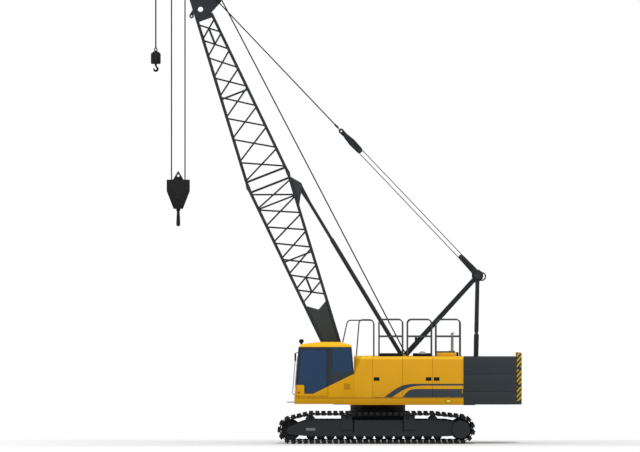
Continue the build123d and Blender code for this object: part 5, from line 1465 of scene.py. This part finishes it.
def on_stay(along, out, right):
    """A point on the boom's suspension line, measured from the gantry's pin."""
    return STAY_PIVOT + STAY_LINE * along + STAY_SIDE * out + Vector((0, right, 0))


eased("lower_bail", "lower_bail_plates", 0.005, gantry_grey, "dark_paint", "luff_bridle")
bail = bmesh.new()
for side, _ in SIDES:
    cheek = stretched((5.190, 0, 0.070), (BAIL_MIDDLE, 0, 0.100), (4.660, 0, 0.088))
    plate(bail, cheek, side * BAIL_CHEEK_Y, 0.030, (YOKE_PIN, 0, 0.026), on_stay)
    yoke = stretched((PENDANT_PIN, 0, 0.072), (YOKE_PIN, 0, 0.056))
    plate(bail, yoke, side * YOKE_Y, 0.024, (PENDANT_PIN, 0, 0.040), on_stay)
for along, half in ((PENDANT_PIN, 0.469), (YOKE_PIN, 0.354)):
    turned(bail, on_stay(along, 0, 0), pin(half, 0.040, 0.028), segments=28)
for out in (-0.070, 0.070):
    turned(bail, on_stay(BAIL_MIDDLE, out, 0), pin(BAIL_CHEEK_Y, 0.012), segments=12)
piece("floating_bail_plates", bail, gantry_grey, "dark_paint", "floating_bail", "floating_bail")
cap = ((-0.004, 0.0), (-0.004, 0.050), (0.006, 0.050), (0.010, 0.044), (0.010, 0.0))
for name, along, body, second in (
    ("lower_bail", LOWER_AXLE, "luff_bridle", LOWER_AXLE - 0.20),
    ("floating_bail", UPPER_AXLE, "floating_bail", UPPER_AXLE + 0.30),
):
    rounds = bmesh.new()
    for y in WHEELS_Y:
        small_wheel(rounds, on_stay(along, 0, y), 0.047, 0.12, 28)
    for side, _ in SIDES:
        for at, share, segments in ((along, 1, 24), (second, 0.55, 16)):
            sized = [(side * depth, radius * share) for depth, radius in cap]
            turned(rounds, on_stay(at, 0, side * 0.317), sized, segments=segments)
    piece(f"{name}_wheels", rounds, wheel_grey, "black_paint", body)
cables = []
sockets = bmesh.new()
eye = mirrored(((0.022, 0.040), (0.022, 0.064), (0.016, 0.069)))
for side, _ in SIDES:
    y = side * PENDANT_Y
    cables.append((PENDANT_R, (on_stay(PENDANT_PIN + 0.20, 0, y), on_stay(STAY_LENGTH - 0.20, 0, y))))
    for start, way in ((PENDANT_PIN, 1), (STAY_LENGTH, -1)):
        cables.append((SOCKET_R, (on_stay(start + way * 0.120, 0, y), on_stay(start + way * 0.255, 0, y))))
        for shift in (-0.014, 0.014):
            fork = (on_stay(start, 0, y + shift), on_stay(start + way * 0.140, 0, y + shift * 0.6))
            cables.append((FORK_R, fork))
        turned(sockets, on_stay(start, 0, y), eye, segments=28)
    cables.append((EYE_R, (on_stay(STAY_LENGTH, 0, y - 0.026), on_stay(STAY_LENGTH, 0, y + 0.026))))
    sleeve = (on_stay(STAY_LENGTH, 0, side * 0.412), on_stay(STAY_LENGTH, 0, y))
    cables.append((LUG_SLEEVE_R, sleeve))
piece("pendant_eyes", sockets, wheel_grey, "black_paint", "floating_bail")
tubes("pendant_ropes", cables, rope_steel, "wire_rope", "floating_bail", "pendants", sides=12)

# Backstops.
# Telescopic steel tubes with dark sliding rods that keep the boom from falling rearwards,
# pinned at the webs and at the boom's brackets.

rod_grey = finish_of("Rod grey", linear(42, 45, 48), 0.1, 0.05, roughness=0.3, peel=0.1, metallic=0.3)
eased("backstop_tubes", "backstop_barrels", 0.004, gantry_grey, "dark_paint", "backstop_tubes")
paint("backstop_rods", rod_grey)

# Ropes.
# Laid steel wire, dark with grease: the hoist rope from the main drum over the guide wheel
# to the head, the boom's own reeving, and the falls down to the hooks.

GROOVE_R = 0.190
HOIST_ROPE_R, REEVING_R, FALL_R, SINGLE_FALL_R = 0.019, 0.0105, 0.0165, 0.0195
DRUM_AXLE, COIL_R = Vector((0.780, 0, 1.700)), 0.265
GUIDE_ROLLER, GUIDE_ROLLER_R = Vector((0.835, 0, 2.272)), 0.062
GUIDE, HEAD, TIP = on_boom(*GUIDE_AXLE, 0), on_boom(*HEAD_AXLE, 0), on_boom(*TIP_AXLE, 0)
BLOCK_Z, BALL_ROPE_Z = 6.930, 11.130
MAIN_WHEELS_Y, BOOM_HOIST_Y, REEVING_OUT = 0.120, 0.060, 0.060
rope_tree = rope_steel.node_tree
lay_spot = node_in(rope_tree, "ShaderNodeTexCoord").outputs["Object"]
lay = node_in(
    rope_tree, "ShaderNodeTexWave", {"Vector": lay_spot, "Scale": 40}, bands_direction="DIAGONAL"
)
strands = node_in(rope_tree, "ShaderNodeBump", {"Height": lay.outputs["Fac"], "Distance": 0.003})
feed(rope_tree, rope_tree.nodes["Principled BSDF"].inputs, {"Normal": strands.outputs["Normal"]})


def tangent_on_right(first, first_r, second, second_r):
    """Where a rope leaves one wheel and meets the next, on the right of its way."""
    way = second - first
    share = (first_r - second_r) / way.length
    way.normalize()
    right = Vector((way.z, 0, -way.x))
    normal = right * math.sqrt(1 - share * share) + way * share
    return first + normal * first_r, second + normal * second_r


def round_wheel(centre, radius, start, end, steps=12):
    """Points round a wheel from one point on it to another, turning left."""
    first = math.atan2(start.z - centre.z, start.x - centre.x)
    last = math.atan2(end.z - centre.z, end.x - centre.x)
    while last < first:
        last += 2 * math.pi
    return [beside(centre, radius, first + (last - first) * step / steps) for step in range(steps + 1)]


drum_end, below = tangent_on_right(DRUM_AXLE, COIL_R, GUIDE_ROLLER, GUIDE_ROLLER_R)
leaves, meets = tangent_on_right(GUIDE_ROLLER, GUIDE_ROLLER_R, GUIDE, GROOVE_R)
onward, arrives = tangent_on_right(GUIDE, GROOVE_R, HEAD, GROOVE_R)
line = [drum_end, below] + [leaves.lerp(meets, step / 48) for step in range(48)]
line += round_wheel(GUIDE, GROOVE_R, meets, onward, 4)
line += round_wheel(HEAD, GROOVE_R, arrives, HEAD + Vector((-GROOVE_R, 0, 0)))
hoist_rope = tubes("hoist_rope", [(HOIST_ROPE_R, line)], rope_steel, "wire_rope", None, sides=10)
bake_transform(hoist_rope)
rollers = bmesh.new()
turned(rollers, GUIDE_ROLLER, pin(0.420, 0.048), segments=28)
for y in (-0.440, 0.440):
    block_about(rollers, (GUIDE_ROLLER.x, y, 2.265), (0.070, 0.030, 0.130), 0.004)
piece("rope_roller", rollers, wheel_grey, "black_paint", "superstructure")
reeving = []
for y in WHEELS_Y:
    for out in (-REEVING_OUT, REEVING_OUT):
        reeving.append((REEVING_R, (on_stay(LOWER_AXLE, out, y), on_stay(UPPER_AXLE, out, y))))
reeving_ropes = tubes("reeving_ropes", reeving, rope_steel, "wire_rope", None, sides=8)
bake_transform(reeving_ropes)
boom_hoist = []
for y in (-BOOM_HOIST_Y, BOOM_HOIST_Y):
    boom_hoist.append((REEVING_R, ((2.795, y, 4.640), (2.752, y, 1.871), (2.180, y, 1.871))))
tubes("boom_hoist_rope", boom_hoist, rope_steel, "wire_rope", "superstructure", bend=0.1, sides=8)
falls = []
for y in (-MAIN_WHEELS_Y, MAIN_WHEELS_Y):
    for x in (HEAD.x - GROOVE_R, HEAD.x + GROOVE_R):
        falls.append((FALL_R, ((x, y, HEAD.z), (x, y, BLOCK_Z))))
main_falls = tubes("main_fall_ropes", falls, rope_steel, "wire_rope", None, "main_rope_falls", sides=10)
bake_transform(main_falls)
fall_x = TIP.x - GROOVE_R
falls = [(SINGLE_FALL_R, ((fall_x, 0, TIP.z), (fall_x, 0, BALL_ROPE_Z)))]
single_fall = tubes(
    "auxiliary_fall_rope", falls, rope_steel, "wire_rope", None, "auxiliary_rope_fall", sides=10
)
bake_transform(single_fall)

# Hook blocks.
# Plate cheeks round two wheels with a forged hook on a swivel below; the second hook hangs
# from one rope in a heavy turned body. Both are painted black.

# The cheeks' bolts: distance from the middle and height.
CHEEK_BOLTS = ((0.27, 7.36), (0.27, 7.14), (0.13, 6.72))
CHEEK_FACE, WHEEL_CAP_Y = 0.187, 0.204
# A forged hook's middle line and thickness: place away from the shank, height, radius.
HOOK_COURSE = (
    (0.0, 0.300, 0.034), (0.0, 0.230, 0.034), (0.012, 0.190, 0.035), (0.058, 0.135, 0.038),
    (0.112, 0.070, 0.042), (0.135, 0.0, 0.045), (0.117, -0.068, 0.047), (0.068, -0.117, 0.048),
    (0.0, -0.135, 0.048), (-0.068, -0.117, 0.045), (-0.117, -0.068, 0.037), (-0.136, 0.0, 0.027),
    (-0.138, 0.050, 0.018), (-0.133, 0.078, 0.006),
)
hook_black = finish_of("Hook black", linear(24, 24, 24), 0.15, roughness=0.45, peel=0.3)
eased("main_hook_block", "block_cheeks", 0.006, hook_black, "black_paint", "main_block")
cheek_bolts = []
for side, _ in SIDES:
    for shift, z in CHEEK_BOLTS:
        for x in (HEAD.x - shift, HEAD.x + shift):
            cheek_bolts.append(((x, side * CHEEK_FACE, z), (0, side, 0)))
bolts("cheek_bolts", 0.024, dark_fixings, "black_paint", "main_block", cheek_bolts)
hubs = bmesh.new()
cap = ((-0.006, 0.0), (-0.006, 0.085), (0.010, 0.085), (0.016, 0.078), (0.016, 0.0))
for side, _ in SIDES:
    turned(hubs, (HEAD.x, side * MAIN_WHEELS_Y, BLOCK_Z), SHEAVE_PROFILE, segments=40)
    outward_cap = [(side * along, radius) for along, radius in cap]
    turned(hubs, (HEAD.x, side * WHEEL_CAP_Y, BLOCK_Z), outward_cap)
piece("block_wheels", hubs, hook_black, "black_paint", "main_block")


def through(before, start, end, after, share):
    """A place between two points on a smooth curve that passes through all four."""
    return [
        0.5
        * (
            2 * s
            + (e - b) * share
            + (2 * b - 5 * s + 4 * e - a) * share**2
            + (3 * s - b - 3 * e + a) * share**3
        )
        for b, s, e, a in zip(before, start, end, after)
    ]


def forged(name, centre, scale, stout, away, side, body, node, extra):
    """A forged hook, a bar that swells at the bowl and tapers, with the turned parts on it."""
    course = (HOOK_COURSE[0], *HOOK_COURSE, HOOK_COURSE[-1])
    points, thick = [], []
    for four in zip(course, course[1:], course[2:], course[3:]):
        for step in range(4):
            reach, up, radius = through(*four, step / 4)
            points.append(centre + (away * reach + Vector((0, 0, up))) * scale)
            thick.append(radius * scale * stout)
    mesh = bmesh.new()
    rings = []
    for number, (point, radius) in enumerate(zip(points, thick)):
        along = points[min(number + 1, len(points) - 1)] - points[max(number - 1, 0)]
        out = along.cross(side).normalized()
        around = [(out * math.cos(turn) + side * math.sin(turn)) * radius for turn in turns(14)]
        rings.append([mesh.verts.new(point + offset) for offset in around])
    for low, high in zip(rings, rings[1:]):
        walls(mesh, low, high)
    mesh.faces.new(rings[0])
    mesh.faces.new(rings[-1])
    bmesh.ops.recalc_face_normals(mesh, faces=mesh.faces)
    for middle, profile, axis in extra:
        turned(mesh, middle, profile, across=axis)
    piece(name, mesh, hook_black, "black_paint", body, node, angle=50)


collar = (
    (-0.062, 0.034), (-0.058, 0.056), (-0.012, 0.058), (-0.006, 0.052), (-0.0003, 0.052), (-0.0003, 0.0),
    (-0.062, 0.0),
)
forged(
    "main_hook_forging",
    centre=Vector((HEAD.x, 0, 6.290)),
    scale=1.0,
    stout=1.2,
    away=Vector((0, 1, 0)),
    side=Vector((1, 0, 0)),
    body="main_hook",
    node="main_hook",
    extra=[((HEAD.x, 0, 6.590), collar, "Z")],
)
ball = (
    (0.0, 0.0), (0.0, 0.112), (0.012, 0.132), (0.040, 0.140), (0.280, 0.140), (0.315, 0.118),
    (0.360, 0.052), (0.372, 0.030), (0.384, 0.028), (0.384, 0.0),
)
eye = ((-0.014, 0.040), (0.0, 0.052), (0.014, 0.040), (0.0, 0.024))
socket = ((0.0, 0.0), (0.0, 0.018), (0.040, 0.024), (0.075, 0.020), (0.075, 0.0))
shank = ((-0.050, 0.0), (-0.050, 0.030), (-0.010, 0.034), (0.0, 0.034), (0.0, 0.0))
forged(
    "auxiliary_hook_forging",
    centre=Vector((fall_x, 0, 10.532)),
    scale=0.40,
    stout=1.65,
    away=Vector((1, 0, 0)),
    side=Vector((0, 1, 0)),
    body="auxiliary_ball",
    node="auxiliary_hook_ball",
    extra=[
        ((fall_x, 0, 10.669), ball, "Z"),
        ((fall_x, 0, 10.670), shank, "Z"),
        ((fall_x, 0, 11.075), eye, "Y"),
        ((fall_x, 0, 11.115), socket, "Z"),
    ],
)

# Studio.
# A pale floor that catches the shadow and fades to white, a white surround and a soft sun.
# None of it is a part of the crane.

FLOOR_HALF = 400
FADE_DEEP, FADE_WIDE = 0.12, 0.09
WORLD_LIGHT, SUN_LIGHT = 0.64, 1.4
SUN_TURN = (math.radians(48), math.radians(-18), math.radians(20))
floor_mesh = bmesh.new()
bmesh.ops.create_grid(floor_mesh, x_segments=1, y_segments=1, size=FLOOR_HALF)
floor = from_bmesh("studio_floor", floor_mesh)
floor_paint = bpy.data.materials.new("Studio floor")
floor_paint.use_nodes = True
floor_tree = floor_paint.node_tree
ground = floor_tree.nodes["Principled BSDF"]
feed(
    floor_tree,
    ground.inputs,
    {"Base Color": (0.9, 0.9, 0.9, 1), "Roughness": 0.9, "Specular IOR Level": 0.1},
)
glow = node_in(floor_tree, "ShaderNodeEmission")
far_x, far_y, _ = place_of(floor_tree)
deep = figure(floor_tree, "MULTIPLY", figure(floor_tree, "ABSOLUTE", far_y), FADE_DEEP)
wide = figure(floor_tree, "MULTIPLY", figure(floor_tree, "ABSOLUTE", far_x), FADE_WIDE)
far = figure(floor_tree, "POWER", figure(floor_tree, "MAXIMUM", deep, wide), 3)
fading_out = node_in(
    floor_tree,
    "ShaderNodeMixShader",
    {"Fac": figure(floor_tree, "MINIMUM", far, 1), 1: ground.outputs["BSDF"], 2: glow.outputs["Emission"]},
)
feed(floor_tree, floor_tree.nodes["Material Output"].inputs, {"Surface": fading_out.outputs["Shader"]})
floor.data.materials.append(floor_paint)

world = bpy.data.worlds.new("Studio")
bpy.context.scene.world = world
world.use_nodes = True
sky = world.node_tree
backdrop = sky.nodes["Background"]
feed(sky, backdrop.inputs, {"Color": (1, 1, 1, 1), "Strength": WORLD_LIGHT})
white = node_in(sky, "ShaderNodeBackground", {"Color": (1, 1, 1, 1), "Strength": 1.0})
ray = node_in(sky, "ShaderNodeLightPath").outputs
seen = figure(sky, "MAXIMUM", ray["Is Camera Ray"], ray["Is Glossy Ray"])
seen = figure(sky, "MAXIMUM", seen, ray["Is Transmission Ray"])
surround = node_in(
    sky,
    "ShaderNodeMixShader",
    {"Fac": seen, 1: backdrop.outputs["Background"], 2: white.outputs["Background"]},
)
feed(sky, sky.nodes["World Output"].inputs, {"Surface": surround.outputs["Shader"]})

sun = bpy.data.lights.new("Sun", "SUN")
sun.energy = SUN_LIGHT
sun.angle = math.radians(8)
lamp = new_object("Sun", sun)
lamp.rotation_euler = SUN_TURN

# Camera.
# The photograph is a level view of the crane's left side from far away, so a long lens
# stands far off; the distance follows from the width that the picture shows.

LENS, SENSOR, PICTURE_WIDTH = 1000, 36, 18.016
MIDDLE_X, MIDDLE_Z = -1.627, 6.109
view = bpy.data.cameras.new("Camera")
view.lens = LENS
view.clip_end = 2000
camera = new_object("Camera", view)
camera.location = (MIDDLE_X, -PICTURE_WIDTH * LENS / SENSOR, MIDDLE_Z)
camera.rotation_euler = (math.pi / 2, 0, 0)
bpy.context.scene.camera = camera
bpy.context.scene.view_settings.view_transform = "Standard"
